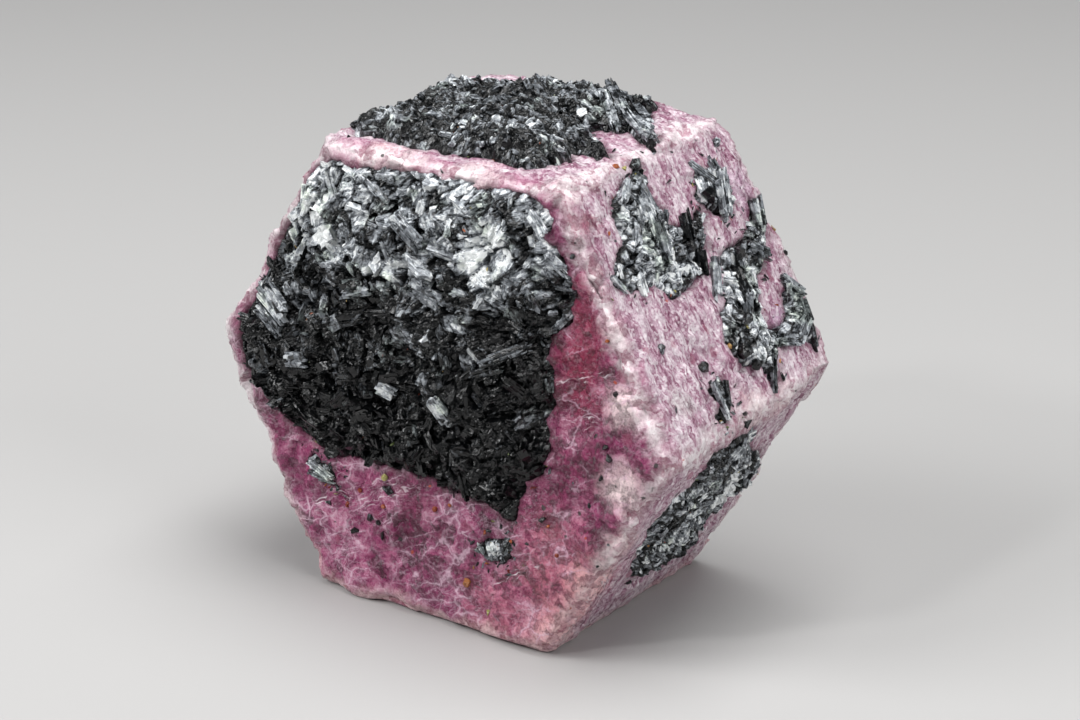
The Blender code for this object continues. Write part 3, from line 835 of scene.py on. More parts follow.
def warped(tree, vector, scale, reach):
    # The vector, strayed by up to reach metres by a noise
    stray = noiseMap(tree, vector, scale, 3.0, 0.6, output="Color")
    centred = vectorMaths(tree, "SUBTRACT", stray, (0.5, 0.5, 0.5))
    return vectorMaths(tree, "ADD", vector, vectorMaths(tree, "SCALE", centred, reach * 2))


def spot(tree, vector, place, radius, soft=0.6):
    # One at a place, falling to nothing at radius
    gap = vectorMaths(tree, "DISTANCE", vector, place, "Value")
    return ranged(tree, gap, radius, radius * (1 - soft))


def ridges(tree, vector, scale, width, detail=3.0):
    # Thin soft lines where a noise crosses its middle value
    crossing = maths(tree, "SUBTRACT", noiseMap(tree, vector, scale, detail, 0.6), 0.5)
    return ranged(tree, maths(tree, "ABSOLUTE", crossing), width, 0.0)


# Stains and tints of the ruby: face, across, up and radius in millimetres, colour and strength
rose = (0.36, 0.11, 0.14)
crimson = (0.15, 0.009, 0.031)
plum = (0.115, 0.01, 0.042)
salmon = (0.50, 0.275, 0.27)
cream = (0.70, 0.57, 0.57)
rubyTints = [
    ("front", 22.5, 16, 5, crimson, 0.95),
    ("front", 23, 11, 6, crimson, 0.95),
    ("front", 22.5, 4.5, 7.5, crimson, 0.92),
    ("front", 22.5, -4, 8, plum, 0.85),
    ("front", 18, -11.5, 6.5, plum, 0.8),
    ("front", -11, 29.6, 3.4, crimson, 0.85),
    ("front", -4, 29.6, 2.4, crimson, 0.7),
    ("front", -2, -16.5, 5.5, plum, 0.6),
    ("front", 5, -23, 5, plum, 0.4),
    ("front", 24, -9, 5, plum, 0.5),
    ("front", 21, -20, 11, rose, 0.6),
    ("front", 11, -28, 8, rose, 0.5),
    ("front", 26.5, -21.5, 7, salmon, 0.8),
    ("front", 21.5, -30, 8.5, salmon, 0.75),
    ("front", 30.5, -6, 5, cream, 0.8),
    ("front", 29.8, 4.5, 4.2, cream, 0.85),
    ("upperRight", -18.5, -8, 3, cream, 0.5),
    ("front", 28.5, 14, 3.6, cream, 0.7),
    ("upperRight", -17.5, -13, 3.6, cream, 0.5),
    ("front", 31, -14, 4, salmon, 0.6),
    ("upperRight", -16.5, -9.5, 1.6, crimson, 0.7),
    ("upperRight", -12, -12.5, 2.4, crimson, 0.7),
    ("upperRight", -6, -15, 2, crimson, 0.6),
    ("upperRight", 2, -16, 2.6, crimson, 0.4),
    ("upperRight", 18, 2, 5, salmon, 0.45),
    ("upperRight", 19, 9, 5, salmon, 0.35),
    ("upperRight", 9.5, 14.5, 3.6, (0.33, 0.20, 0.31), 0.65),
    ("upperRight", 13, -10.5, 3, (0.30, 0.29, 0.27), 0.5),
    ("upperRight", -9, 17, 4, (0.44, 0.30, 0.40), 0.5),
    ("back", 19, 8, 8, crimson, 0.8),
    ("back", -13, -14, 8, crimson, 0.7),
    ("back", -24, 9, 6, salmon, 0.6),
    ("back", 3, -24, 8, cream, 0.55),
    ("back", 27, -10, 6, salmon, 0.6),
    ("upperLeft", 11, -10, 5, plum, 0.4),
    ("upperLeft", -10, 10, 6, salmon, 0.4),
    ("lowerLeft", 4, 8, 7, plum, 0.3),
    ("top", -8, -15, 7, cream, 0.7),
    ("top", 6, -14.5, 5.5, cream, 0.6),
]
# White streaks under the surface of the front: across, up, half length, half breadth, turn
whiteStreaks = [
    (-12.2, -17.5, 12, 1.7, 23), (23, 6.2, 5, 1.3, 25), (24, 1.2, 3, 1.6, 24), (14, -22, 5, 1.2, 35),
]


def streakPatch(tree, vector, across, up, halfLength, halfBreadth, turn):
    # A patch of fine parallel lines on the front
    middle, x, y, _ = faceFrame("front")
    turn = math.radians(turn)
    along, over = x * math.cos(turn) + y * math.sin(turn), y * math.cos(turn) - x * math.sin(turn)
    offset = vectorMaths(tree, "SUBTRACT", vector, placeOn("front", across, up))
    u = vectorMaths(tree, "DOT_PRODUCT", offset, along / (halfLength * mm), "Value")
    v = vectorMaths(tree, "DOT_PRODUCT", offset, over / (halfBreadth * mm), "Value")
    gap = maths(tree, "ADD", times(tree, u, u), times(tree, v, v))
    lines = {0: times(tree, u, halfLength * 0.25), 1: times(tree, v, halfBreadth * 2.2)}
    lines = addNode(tree, "ShaderNodeCombineXYZ", lines).outputs[0]
    lines = ranged(tree, noiseMap(tree, lines, 1.3, 2.0, 0.6), 0.55, 0.68)
    return times(tree, lines, ranged(tree, gap, 1.0, 0.4))


def bumped(tree, strength, reach, height, normal):
    inputs = {"Strength": strength, "Distance": reach, "Height": height, "Normal": normal}
    return addNode(tree, "ShaderNodeBump", inputs).outputs[0]


def rubyMaps(tree):
    # Attributes, noises and cells that the ruby's colours and relief share
    place = addNode(tree, "ShaderNodeTexCoord").outputs["Object"]
    height = addNode(tree, "ShaderNodeSeparateXYZ", {0: place}).outputs["Z"]
    side = attribute(tree, "side")
    bent = warped(tree, place, 240.0, 1.5 * mm)
    crumpled = warped(tree, bent, 1100.0, 0.4 * mm)
    wander = warped(tree, place, 800.0, 0.5 * mm)
    return SimpleNamespace(
        place=place, bent=bent, crumpled=crumpled, wander=wander,
        side=side, edge=attribute(tree, "edge"), rim=attribute(tree, "rim"),
        ends=maths(tree, "SUBTRACT", 1.0, side, clamp=True),
        low=ranged(tree, height, 18 * mm, 3 * mm),
        broad=noiseMap(tree, place, 90.0, 4.0, 0.6),
        middling=noiseMap(tree, bent, 420.0, 5.0, 0.68),
        grainy=noiseMap(tree, place, 1900.0, 4.0, 0.72),
        smallCells=cellValues(tree, crumpled, 800.0),
        fibres=noiseMap(tree, scaled(tree, wander, (760, 3600, 760)), 1.0, 5.0, 0.72),
        fibresFine=noiseMap(tree, scaled(tree, wander, (1500, 6500, 1500)), 1.0, 3.0, 0.6),
        splinters=cellValues(tree, scaled(tree, wander, (450, 2000, 450)), 1.0),
    )


def paleCracks(tree, maps):
    # Pale cracks between the plum cells of the ends, drawn out one way, and threads along them
    def drawnOut(vector, scale):
        return scaled(tree, scaled(tree, vector, (1, 1, 1), (0, math.radians(23), 0)), scale)

    drawn = drawnOut(warped(tree, maps.bent, 900.0, 0.22 * mm), (0.62, 1.0, 1.25))
    wide, narrow = cellEdges(tree, drawn, 290.0), cellEdges(tree, drawn, 640.0)
    finest = cellEdges(tree, maps.crumpled, 1500.0)
    cracks = ranged(tree, wide, 0.07, 0.0)
    for edges, width, share in ((wide, 0.26, 0.24), (narrow, 0.10, 0.5), (finest, 0.10, 0.10)):
        cracks = larger(tree, cracks, times(tree, ranged(tree, edges, width, 0.0), share))
    spread = ranged(tree, noiseMap(tree, maps.place, 170.0, 3.0, 0.6), 0.42, 0.60, 0.12, 1.0)
    spread = maths(tree, "ADD", spread, times(tree, maps.low, 0.2), clamp=True)
    threads = ridges(tree, drawnOut(maps.bent, (230, 2200, 2200)), 1.0, 0.035, 2.0)
    threads = times(tree, threads, ranged(tree, noiseMap(tree, maps.place, 210.0, 2.0, 0.5), 0.47, 0.59))
    cracks = larger(tree, times(tree, cracks, spread), times(tree, threads, 0.7))
    cracks = times(tree, cracks, ranged(tree, maps.grainy, 0.3, 0.6, 0.45, 1.0))
    return times(tree, cracks, maps.ends)


def endColours(tree, maps, cracks):
    # Plum cells with the pale cracks between them
    blotch = summed(
        tree, (maps.broad, 0.22), (maps.middling, 0.28), (maps.grainy, 0.24),
        (cellValues(tree, maps.bent, 300.0), 0.14), (maps.smallCells, 0.12), (maps.low, 0.03),
    )
    colour = ramp(tree, blotch, [
        (0.39, (0.048, 0.002, 0.017)), (0.46, (0.11, 0.006, 0.042)), (0.53, (0.185, 0.015, 0.078)),
        (0.60, (0.295, 0.06, 0.142)), (0.68, (0.47, 0.22, 0.31)),
    ])
    return laidOn(tree, colour, cracks, 0.8, (0.64, 0.44, 0.54))


def sideColours(tree, maps):
    # Short pale and mauve fibres across the axis
    streaks = summed(
        tree, (maps.fibres, 0.28), (maps.fibresFine, 0.16), (maps.splinters, 0.12), (maps.broad, 0.12),
        (maps.middling, 0.12), (maps.grainy, 0.20),
    )
    return ramp(tree, streaks, [
        (0.395, (0.11, 0.025, 0.06)), (0.45, (0.26, 0.12, 0.18)), (0.495, (0.40, 0.26, 0.325)),
        (0.54, (0.52, 0.41, 0.465)), (0.59, (0.68, 0.61, 0.645)), (0.65, (0.82, 0.79, 0.80)),
    ])


def stained(tree, maps, colour, cracks):
    # Stains and tints that keep the texture below them, and the white streaks
    strayed = warped(tree, maps.bent, 520.0, 1.3 * mm)
    texture = summed(tree, (maps.grainy, 0.55), (maps.middling, 0.25), (maps.smallCells, 0.2))
    texture = ranged(tree, texture, 0.36, 0.64, 0.45, 1.6)
    kept = ranged(tree, maps.middling, 0.35, 0.6, 1.0, 0.7)
    kept = times(tree, ranged(tree, cracks, 0.1, 0.9, 1.0, 0.3), kept)
    for face, across, up, radius, tint, strength in rubyTints:
        mask = times(tree, spot(tree, strayed, placeOn(face, across, up), radius * mm, 0.75), strength)
        mask = times(tree, mask, kept)
        colour = mixed(tree, mask, colour, mixed(tree, 1.0, (*tint, 1), texture, "MULTIPLY"))
    streaked = None
    for row in whiteStreaks:
        patch = streakPatch(tree, maps.bent, *row)
        streaked = patch if streaked is None else larger(tree, streaked, patch)
    return laidOn(tree, colour, times(tree, streaked, maps.ends), 0.75, (0.78, 0.68, 0.73))


def wornAndGritty(tree, maps, colour):
    # Worn edges, sparkling points, black grit, orange-red points painted as glints, plum flecks and a dark
    # rim round each mass
    worn = ranged(tree, summed(tree, (maps.edge, 1.0), (maps.middling, 5.0), (maps.broad, 5.0)), 8.0, 4.6)
    wornColour = ramp(tree, summed(tree, (maps.grainy, 0.6), (maps.smallCells, 0.4)), [
        (0.30, (0.38, 0.21, 0.25)), (0.43, (0.58, 0.47, 0.50)), (0.58, (0.73, 0.67, 0.68)),
        (0.70, (0.85, 0.82, 0.82)),
    ])
    wornColour = laidOn(tree, wornColour, maps.low, 0.9, (1.0, 0.74, 0.73), "MULTIPLY")
    colour = mixed(tree, times(tree, worn, 0.74), colour, wornColour)
    sparkles = ranged(tree, cellValues(tree, maps.place, 3000.0), 0.83, 0.87)
    colour = laidOn(tree, colour, sparkles, ranged(tree, maps.side, 0.0, 1.0, 0.06, 0.4), (0.86, 0.80, 0.83))
    colour = laidOn(tree, colour, dots(tree, maps.wander, 520.0, 0.07, 0.20, 0), 0.9, (0.03, 0.03, 0.028))
    # Orange-red points: painted glints in the ruby
    colour = laidOn(tree, colour, dots(tree, maps.wander, 620.0, 0.05, 0.17, 1), 0.9, (0.36, 0.05, 0.02))
    plums = dots(tree, scaled(tree, maps.wander, (1.0, 1.9, 1.0)), 400.0, 0.12, 0.42, 2)
    colour = laidOn(tree, colour, plums, 0.5, (0.24, 0.04, 0.09))
    return laidOn(tree, colour, ranged(tree, maps.rim, -1.0, -0.05), 0.45, (0.12, 0.05, 0.07))


def rubyMaterial():
    made, tree, shader = newMaterial("ruby")
    maps = rubyMaps(tree)
    cracks = paleCracks(tree, maps)
    colour = mixed(tree, maps.side, endColours(tree, maps, cracks), sideColours(tree, maps))
    colour = wornAndGritty(tree, maps, stained(tree, maps, colour, cracks))
    feed(tree, shader.inputs["Base Color"], colour)
    feed(tree, shader.inputs["Roughness"], ranged(tree, maps.grainy, 0.35, 0.65, 0.17, 0.45))
    shader.inputs["IOR"].default_value = 1.44
    sideLumps = summed(tree, (maps.fibres, 0.5), (maps.fibresFine, 0.3), (maps.splinters, 0.12))
    lumps = summed(
        tree, (maps.grainy, 0.6), (times(tree, sideLumps, maps.side), 0.8), (cracks, 0.12),
        (maps.smallCells, 0.1), (noiseMap(tree, maps.place, 4600.0, 3.0, 0.6), 0.22),
    )
    facets = tippedNormal(tree, cellColours(tree, maps.crumpled, 1300.0), 0.34)
    feed(tree, shader.inputs["Normal"], bumped(tree, 0.8, 0.3 * mm, lumps, facets))
    return made


# Pale patches in the black rock: place and radius in millimetres
paleGrains = [
    (placeOn("front", 10.4, 20.6, 2.5), 5.2), (placeOn("front", -18.6, 21.3, 2.0), 2.8),
    (placeOn("front", -16.7, 18.0, 2.0), 2.4), (placeOn("front", -4.0, 15.5, 3.0), 2.2),
    (placeOn("upperRight", -12.0, 5.0), 2.0), (placeOn("top", -15.0, -5.0), 3.5),
    (placeOn("lowerRight", -3.0, 6.0), 4.0), (placeOn("front", 11.0, -19.0), 1.6),
]


def amphiboleMaterial():
    made, tree, shader = newMaterial("amphibole")
    place = addNode(tree, "ShaderNodeTexCoord").outputs["Object"]
    tone, tint, local = attribute(tree, "tone"), attribute(tree, "tint"), attribute(tree, "local", "Vector")
    wavy = warped(tree, local, 2.5, 0.12)
    strips = cellColours(tree, scaled(tree, wavy, (0.9, 3.2, 2.0)), 1.0)
    flakes = cellColours(tree, place, 1250.0)
    lines = noiseMap(tree, scaled(tree, wavy, (0.7, 7.0, 3.5)), 1.0, 3.0, 0.65)
    fine = noiseMap(tree, place, 2600.0, 3.0, 0.6)
    pale = None
    for where, radius in paleGrains:
        mask = spot(tree, place, where, radius * mm, 0.5)
        pale = mask if pale is None else larger(tree, pale, mask)
    value = summed(
        tree, (tone, 0.56), (firstPart(tree, strips), 0.17), (firstPart(tree, flakes), 0.19),
        (cellValues(tree, place, 2700.0), 0.11), (lines, 0.30), (fine, 0.10), (pale, 0.30),
    )
    # The grey and near-white stops are partly the rock's own paler facets and partly painted sheen and glints
    # of the glossy black cleavage faces
    colour = ramp(tree, maths(tree, "SUBTRACT", value, 0.17), [
        (0.44, (0.0018, 0.0021, 0.0025)), (0.51, (0.005, 0.0056, 0.0062)), (0.555, (0.024, 0.026, 0.029)),
        (0.595, (0.08, 0.087, 0.096)), (0.65, (0.145, 0.157, 0.173)), (0.72, (0.235, 0.252, 0.272)),
        (0.79, (0.46, 0.49, 0.52)), (0.88, (0.80, 0.82, 0.82)),
    ])
    green = ranged(tree, noiseMap(tree, place, 260.0, 2.0, 0.5), 0.54, 0.66, 0.0, 0.35)
    colour = mixed(tree, green, colour, (0.72, 0.84, 0.60, 1), "MULTIPLY")
    tinted = ramp(tree, tint, [  # red, brown, yellow and green grains
        (0.0, (0.20, 0.018, 0.012)), (0.35, (0.33, 0.095, 0.03)), (0.55, (0.40, 0.35, 0.12)),
        (0.8, (0.11, 0.14, 0.05)),
    ])
    colour = mixed(tree, ranged(tree, tint, 0.0, 0.01, smooth=False), colour, tinted)
    feed(tree, shader.inputs["Base Color"], colour)
    feed(tree, shader.inputs["Roughness"], ranged(tree, lines, 0.35, 0.65, 0.06, 0.20))
    shader.inputs["IOR"].default_value = 1.45
    height = summed(tree, (lines, 0.9), (firstPart(tree, strips), 0.25), (fine, 0.2))
    facets = vectorMaths(tree, "SCALE", vectorMaths(tree, "ADD", strips, flakes), 0.5)
    facets = tippedNormal(tree, facets, 1.0)
    feed(tree, shader.inputs["Normal"], bumped(tree, 0.4, 0.2 * mm, height, facets))
    return made


rubyFinish = rubyMaterial()
grainFinish = amphiboleMaterial()
ruby.data.materials.append(rubyFinish)
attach(ruby, "root")
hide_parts("ruby_crystal")


# The rock: a broken core and the grains on it

def baseHeights(face, places):
    # Height of the ruby's own surface over the face plane
    out = planes[face][0]
    found = []
    for across, up in places:
        hit = rubyTree.ray_cast(onFace(face, across, up, 6 * mm), -out, 14 * mm)
        found.append(6 * mm - hit[3] if hit[0] else -3 * mm)
    return np.array(found)


def facetAt(across, up, size, seed):
    # The broken facet at a place: offset from its middle, distance from its edge, and its random numbers
    distances, seats = noise.voronoi(Vector((across / size, up / size, seed)))
    seat = seats[0]
    chance = noise.cell_vector(seat * 7.31 + Vector((0.5, 0.5, 0.5)))
    other = noise.cell_vector(seat * 3.17 + Vector((9.5, 4.5, 2.5)))
    offset = ((across / size - seat.x) * size, (up / size - seat.y) * size)
    return offset, (distances[1] - distances[0]) / 2 * size, chance, other


def tipHeight(chance, offset, step, big):
    # Height at an offset on a facet that its random numbers tip and raise
    slope = (chance.x - 0.5) * 0.9 * offset[0] + (chance.y - 0.5) * 0.9 * offset[1]
    return slope + (chance.z - 0.5) * step * big


def toneAt(mass, place, up, spread):
    # Share of pale grey at a place, partly the rock's own tone and partly painted sheen,
    # with spread from -0.5 to 0.5 its own chance
    # The rise makes the upper part paler: painted light where the mass faces up towards the lamps
    rise = mass.get("rise", 0.0) * (up / mm - mass.get("middle", 0.0))
    # Spots that darken are painted shade in crevices, spots that lighten are painted sheen
    for x, y, radius, change in mass.get("shades", ()):
        gap = (place - placeOn(mass["face"], x, y, 3)).length / mm
        rise += change * math.exp(-(gap / radius) ** 2)
    return mass["tone"] + rise + 0.40 * noise.noise(place / (5 * mm)) + 0.34 * spread


def brokenRock(mass, places, inside):
    # Three sizes of facets one inside the other, the smaller ones drawn out along the larger one's cleavage
    seed, big = mass["seed"] + 0.5, mass["facet"]
    heights, tones, local = [], [], []
    for (across, up), share in zip(places / mm, inside):
        offset, gap, chance, other = facetAt(across, up, big, seed)
        turn = other.x * math.tau
        x = offset[0] * math.cos(turn) + offset[1] * math.sin(turn)
        y = offset[1] * math.cos(turn) - offset[0] * math.sin(turn)
        height = tipHeight(chance, offset, 0.26, big)
        shift = 40 * other.y + 7 * other.z
        middle, middleGap, lean, own = facetAt(x * 0.62 + shift, y * 1.25, big * 0.46, seed)
        height += tipHeight(lean, middle, 0.13, big)
        small, _, tip, _ = facetAt(x * 0.7 + shift, y * 1.3, big * 0.22, seed + 3)
        height += tipHeight(tip, small, 0.06, big)
        crevice = 0.16 * big * max(0.0, 1 - gap / 0.22) + 0.07 * big * max(0.0, 1 - middleGap / 0.12)
        heights.append((height - crevice) * mass["rough"] * share)
        tone = 0.40 * (other.z - 0.5) + 0.34 * (own.x - 0.5) + 0.2 * (tip.z - 0.5)
        tone += 0.25 if own.y > 0.93 else 0.0
        # Tone drops along the facets' edges: painted shade in the crevices between them
        tones.append(tone - 0.5 * max(0.0, 1 - gap / 0.25) - 0.3 * max(0.0, 1 - middleGap / 0.12))
        local.append((x / 1.1 + 20 * other.y, y / 1.1 + 20 * other.z, height))
    return np.array(heights), np.array(tones), np.array(local)


def makeCore(name, mass):
    loop, face, step = mass["loop"], mass["face"], mass["step"] * mm
    low, high = loop.min(0) - 1.2 * mm, loop.max(0) + 1.2 * mm
    columns, rows = (np.ceil((high - low) / step)).astype(int) + 1
    grid = np.array([(low[0] + i * step, low[1] + j * step) for j in range(rows) for i in range(columns)])
    depth = depthInside(grid, loop)
    kept = depth > -0.9 * mm
    number = np.full(len(grid), -1)
    number[kept] = np.arange(kept.sum())
    places, depth = grid[kept], depth[kept]
    inside = smoothStep(depth / mm, -0.3, 1.0)
    lumps = np.array([noise.noise(Vector((*p, mass["seed"])) / (6 * mm)) for p in places])
    swell = mass["crown"] * (1 + 0.5 * lumps) * (1 - np.exp(-np.maximum(depth, 0) / (mass["soft"] * mm)))
    lift = -1.1 + 1.2 * smoothStep(depth / mm, -0.8, 0.5) + swell
    rough, tones, local = brokenRock(mass, places, inside)
    heights = baseHeights(face, places) + (lift - 0.05 + rough) * mm
    verts = [onFace(face, *p, h) + Vector((0, 0, axisHeight)) for p, h in zip(places, heights)]
    tones += np.array([toneAt(mass, v, p[1], 0.0) for v, p in zip(verts, places)])
    faces = []
    for j in range(rows - 1):
        for i in range(columns - 1):
            first = j * columns + i
            ring = [number[k] for k in (first, first + 1, first + columns + 1, first + columns)]
            if min(ring) >= 0:
                faces.append(tuple(int(k) for k in ring))
    fields = {"tone": np.clip(tones, 0, 1), "tint": tones * 0, "local": local}
    core = meshObject(name + "Core", verts, faces, fields)
    core.data.materials.append(grainFinish)
    return core, BVHTree.FromPolygons(verts, faces)


def hexPlaces(loop, spacing, chance, margin):
    # Loose points about spacing apart, at least margin inside the loop
    low, high = loop.min(0), loop.max(0)
    rowHeight = spacing * math.sqrt(3) / 2
    tried = []
    for row in range(math.ceil((high[1] - low[1]) / rowHeight) + 1):
        for column in range(math.ceil((high[0] - low[0]) / spacing) + 1):
            across = low[0] + (column + row % 2 / 2) * spacing + chance.uniform(-0.4, 0.4) * spacing
            up = low[1] + row * rowHeight + chance.uniform(-0.4, 0.4) * spacing
            tried.append((across, up))
    tried = np.array(tried)
    return tried[depthInside(tried, loop) > margin]


def seatTurn(out, along, lean, chance):
    # A rotation whose z axis is out, leant by a random amount, and whose x axis runs along
    tipped = (out + looseVector(chance) * lean).normalized()
    x = (along - tipped * along.dot(tipped)).normalized()
    return Matrix((x, tipped.cross(x), tipped)).transposed()


grainKinds = {  # lean, depth that it is sunk, how freely it turns from its neighbours, change of tone
    "plates": (0.30, -0.1, 1.2, 0.05), "laths": (0.24, 0.0, 0.4, 0.03), "chips": (0.9, 0.2, 3.0, -0.10),
}


def grainList(mass, tree):
    face, chance = mass["face"], random.Random(100 + mass["seed"])
    _, x, y, out = faceFrame(face)
    lift = Vector((0, 0, axisHeight))
    grains = []

    def seatOn(point):
        # The rock's surface below a point, or the ruby's beyond the rim
        start = point + out * 12 * mm
        rock = tree.ray_cast(start, -out, 30 * mm)[0]
        stone = rubyTree.ray_cast(start - lift, -out, 30 * mm)[0]
        found = [p for p in (rock, stone and stone + lift) if p]
        return max(found, key=out.dot) if found else point

    def direction(turn):
        return x * math.cos(turn) + y * math.sin(turn)

    def tintOf():
        return chance.random() if chance.random() < mass.get("tinted", 0.035) else 0.0

    def underBlade(across, up):
        for x0, y0, length, width, turn, _ in mass.get("blades", ()):
            turn = math.radians(turn)
            dx, dy = across / mm - x0, up / mm - y0
            along, over = dx * math.cos(turn) + dy * math.sin(turn), dy * math.cos(turn) - dx * math.sin(turn)
            if abs(along) < 0.46 * length and abs(over) < 0.5 * width:
                return True
        return False

    for kind, (lean, sink, free, paler) in grainKinds.items():
        spacing, small, large = mass[kind]
        margin = (-0.2 if kind == "chips" else 0.3) * mm
        for across, up in hexPlaces(mass["loop"], spacing * mm, chance, margin):
            hit = tree.ray_cast(onFace(face, across, up, 12 * mm) + lift, -out, 30 * mm)
            if not hit[0] or underBlade(across, up):
                continue
            size = mm * (small + (large - small) * chance.random() ** 1.7)
            stretch = [chance.uniform(*span) for span in ((0.8, 1.25), (0.7, 1.1), (0.6, 1.0))]
            flow = 2.6 * noise.noise(hit[0] / (7 * mm)) + chance.gauss(0, 1) * free
            turn = seatTurn(hit[1], direction(flow), lean, chance)
            place = hit[0] + hit[1] * (0.1 - sink) * size
            tint = tintOf() if kind == "chips" and size < 0.5 * mm else 0.0
            tone = toneAt(mass, hit[0], up, chance.random() - 0.5) + paler
            tone += 0.25 if chance.random() < 0.04 else 0.0
            shape = chance.randint(*kindRange[kind])
            grains.append((place, turn, Vector(stretch) * size, shape, min(max(tone, 0.0), 1.0), tint))

    for across, up, length, width, turn, tone in mass.get("blades", ()):
        centre = placeOn(face, across, up)
        reach = direction(math.radians(turn)) * length * 0.38 * mm
        low, high = seatOn(centre - reach), seatOn(centre + reach)
        along = (high - low).normalized()
        base = (low + high) / 2
        base += out * max(0.0, (seatOn(centre) - base).dot(out))
        turned = seatTurn((out - along * along.dot(out)).normalized(), along, 0.05, chance)
        grow = Vector((length / 2.6, width / 1.05, 0.75)) * mm
        grains.append((base + out * 0.35 * mm, turned, grow, chance.randint(*kindRange["laths"]), tone, 0.0))
    for across, up, size, tone in mass.get("lumps", ()):
        base = seatOn(placeOn(face, across, up))
        turned = seatTurn(out, direction(chance.uniform(0, 6)), 0.2, chance)
        grow = Vector((size / 2.6, size / 1.7, size / 1.3)) * mm
        shape = chance.randint(*kindRange["beads"])
        grains.append((base + out * 0.4 * size * mm, turned, grow, shape, tone, 0.0))

    # Crumbs on the ruby just outside the rim
    low, high = mass["loop"].min(0) - 3 * mm, mass["loop"].max(0) + 3 * mm
    tried = np.array([[chance.uniform(low[0], high[0]), chance.uniform(low[1], high[1])] for _ in range(900)])
    for (across, up), depth in zip(tried, depthInside(tried, mass["loop"]) / mm):
        if not -2.6 < depth < -0.1 or chance.random() > 0.32 * math.exp(depth / 0.9):
            continue
        hit = rubyTree.ray_cast(onFace(face, across, up, 6 * mm), -out, 12 * mm)
        if hit[0]:
            size = mm * chance.uniform(0.12, 0.42)
            kind = chance.choice(["chips", "chips", "laths"])
            turned = seatTurn(hit[1], direction(chance.uniform(0, 6)), 0.3, chance)
            tint = chance.random() if chance.random() < 0.1 else 0.0
            seat = hit[0] + lift + hit[1] * 0.05 * size
            shape, tone = chance.randint(*kindRange[kind]), chance.uniform(0.1, 0.7)
            grains.append((seat, turned, Vector((1.2, 0.8, 0.8)) * size, shape, tone, tint))

    # Grains on the two ends are pulled in where they would reach far past the solids
    if face in endFaces:
        reach = 0.4 * mm + (-cadBox[0][1] if face == "front" else cadBox[1][1])
        for place, _, grow, *_ in grains:
            over = max(0.0, abs(place.y) + 0.6 * max(grow) - reach)
            place.y -= math.copysign(over, place.y)
    return grains


for name, mass in masses.items():
    core, tree = makeCore(name, mass)
    piece = growGrains(name + "Rock", grainList(mass, tree), core, grainFinish)
    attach(piece, "root")
    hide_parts(name)
    print(name, len(piece.data.polygons), "faces")


# Loose grains in the ruby: across, up and size in millimetres, tone and tint
placedSpecks = {
    "front": [
        (-18.5, -22.9, 1.1, 0.3, 0), (-12.8, -22.6, 1.3, 0.25, 0), (-10.1, -20, 1.2, 0.3, 0),
        (-8.7, -20.5, 1, 0.2, 0), (-7.7, -21.8, 1.6, 0.25, 0), (-7, -15.3, 2, 0.45, 0),
        (-17.8, -20, 1.2, 0.35, 0), (-7.2, -13.6, 1.1, 0.9, 0.6), (27.3, -1.8, 1.3, 0.35, 0),
        (28.3, -2.7, 1.5, 0.2, 0), (27.2, -5.5, 0.9, 0.3, 0), (18.2, -13.3, 1.1, 0.3, 0),
        (28.7, 5.6, 0.9, 0.3, 0), (13, -22, 0.9, 0.5, 0), (25.6, -9.5, 0.8, 0.3, 0),
        (16.5, -9.6, 1.5, 0.5, 0.2), (6.3, -25, 1.5, 0.5, 0.38), (-14.6, -19.5, 0.9, 0.5, 0.1),
        (-8.1, -18.1, 0.9, 0.5, 0.25), (1, -16, 1.1, 0.5, 0.15), (3.7, -14.8, 0.7, 0.5, 0.3),
        (-12.2, -16.8, 0.8, 0.5, 0.1), (11.3, -18.5, 0.7, 0.5, 0.1), (13.7, -17.2, 0.7, 0.5, 0.2),
        (27, 12, 0.7, 0.5, 0.3), (20.5, -17.5, 0.7, 0.5, 0.1), (22.5, -24.5, 0.8, 0.5, 0.2),
    ],
    "upperRight": [
        (9.8, -3.5, 1.7, 0.25, 0), (5.5, -9.8, 1.6, 0.55, 0), (-13.3, 4.3, 1.2, 0.2, 0),
        (12.8, -12.2, 1.4, 0.4, 0), (18.5, 0.5, 1.5, 0.2, 0), (17.2, 0.2, 0.9, 0.3, 0),
        (-15.6, 16, 1.8, 0.6, 0), (-2.6, 20.5, 1.2, 0.5, 0.45), (1, 21, 0.9, 0.3, 0),
        (-10.2, -10.4, 0.9, 0.5, 0.3), (-6, 1, 0.9, 0.5, 0.3), (-17.4, -3.6, 1, 0.5, 0.3),
    ],
}
looseSpecks = {"count": 190, "small": 0.25, "large": 1.0, "tinted": 0.35}


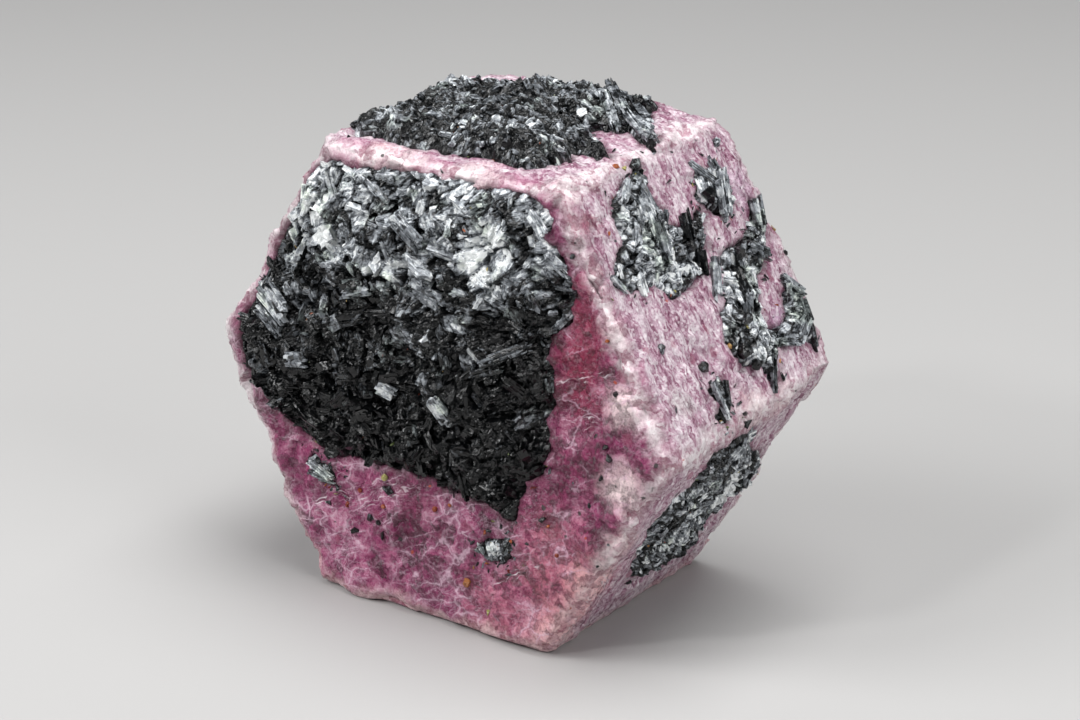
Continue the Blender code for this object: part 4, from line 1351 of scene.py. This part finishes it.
def speckList():
    chance = random.Random(7)
    rows = [(face, *row) for face, found in placedSpecks.items() for row in found]
    for _ in range(looseSpecks["count"]):
        face = chance.choice([name for name in planes if name != "bottom"])
        size = looseSpecks["small"] + (looseSpecks["large"] - looseSpecks["small"]) * chance.random() ** 3
        across, up = chance.uniform(-34, 34), chance.uniform(-34, 34)
        tint = chance.random() if chance.random() < looseSpecks["tinted"] else 0.0
        rows.append((face, across, up, size, chance.uniform(0.05, 0.8), tint))
    grains = []
    for face, across, up, size, tone, tint in rows:
        out = planes[face][0]
        hit = rubyTree.ray_cast(onFace(face, across * mm, up * mm, 6 * mm), -out, 9 * mm)
        here = np.array([[across * mm, up * mm]])
        loops = [mass["loop"] for mass in masses.values() if mass["face"] == face]
        inside = any(depthInside(here, loop)[0] > 0.4 * mm for loop in loops)
        if not hit[0] or inside or hit[0].z < 2 * mm - axisHeight:
            continue
        turn = seatTurn(hit[1], looseVector(chance), 0.25, chance)
        grow = Vector((chance.uniform(0.3, 0.42), chance.uniform(0.4, 0.6), 0.7)) * size * mm
        kind = chance.choice(["beads", "beads", "chips"])
        place = hit[0] + Vector((0, 0, axisHeight)) + hit[1] * 0.06 * size * mm
        grains.append((place, turn, grow, chance.randint(*kindRange[kind]), tone, tint))
    return grains


specks = growGrains("looseGrains", speckList(), None, grainFinish)
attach(specks, "root")
print("looseGrains", len(specks.data.polygons), "faces")


# Floor, light and camera

def makeFloor():
    mesh = bmesh.new()
    bmesh.ops.create_circle(mesh, cap_ends=True, segments=96, radius=3.0)
    data = bpy.data.meshes.new("floor")
    mesh.to_mesh(data)
    mesh.free()
    floor = link(bpy.data.objects.new("floor", data))
    made, _, shader = newMaterial("floorPaint")
    shader.inputs["Base Color"].default_value = (0.40, 0.395, 0.39, 1)
    shader.inputs["Roughness"].default_value = 0.6
    data.materials.append(made)


lamps = {  # place, height that it looks at, size across and power
    "overhead": ((0.12, 0.05, 0.80), 0.04, 0.6, 8.0),
    "upperLeft": ((-0.42, -0.46, 0.52), 0.03, 0.36, 4.2),
    "sparkle": ((-0.16, -0.62, 0.50), 0.03, 0.08, 1.7),
    "rightSide": ((0.80, -0.10, 0.42), 0.03, 0.5, 3.4),
}
view = {  # angles in degrees, the rest in metres; the target is the middle of the c axis, moved a little
    "azimuth": 35.45, "elevation": 19.20, "roll": 0.31, "distance": 0.3967, "right": 0.00316, "down": 0.00014,
}


def makeLight(name, place, targetHeight, size, power):
    data = bpy.data.lights.new(name, "AREA")
    data.shape = "RECTANGLE"
    data.size = data.size_y = size
    data.energy = power
    lamp = link(bpy.data.objects.new(name, data))
    lamp.location = place
    lamp.rotation_mode = "QUATERNION"
    lamp.rotation_quaternion = (Vector((0, 0, targetHeight)) - Vector(place)).to_track_quat("-Z", "Y")


def makeWorld():
    world = bpy.data.worlds.new("studio")
    world.use_nodes = True
    world.node_tree.nodes["Background"].inputs["Color"].default_value = (0.80, 0.83, 0.88, 1)
    world.node_tree.nodes["Background"].inputs["Strength"].default_value = 0.12
    bpy.context.scene.world = world


def makeCamera():
    azimuth, elevation, roll = (math.radians(view[key]) for key in ("azimuth", "elevation", "roll"))
    level = math.cos(elevation)
    back = Vector((math.sin(azimuth) * level, -math.cos(azimuth) * level, math.sin(elevation)))
    right = Vector((math.cos(azimuth), math.sin(azimuth), 0))
    up = back.cross(right)
    data = bpy.data.cameras.new("camera")
    data.lens, data.sensor_width = 100, 36
    data.clip_start = 0.01
    camera = link(bpy.data.objects.new("camera", data))
    place = Vector((0, 0, axisHeight)) + back * view["distance"] + right * view["right"] - up * view["down"]
    turn = Matrix((right, up, back)).transposed().to_4x4()
    camera.matrix_world = Matrix.Translation(place) @ turn @ Matrix.Rotation(roll, 4, "Z")
    bpy.context.scene.camera = camera


makeFloor()
makeWorld()
for name, row in lamps.items():
    makeLight(name, *row)
makeCamera()
bpy.context.scene.view_settings.view_transform = "Standard"
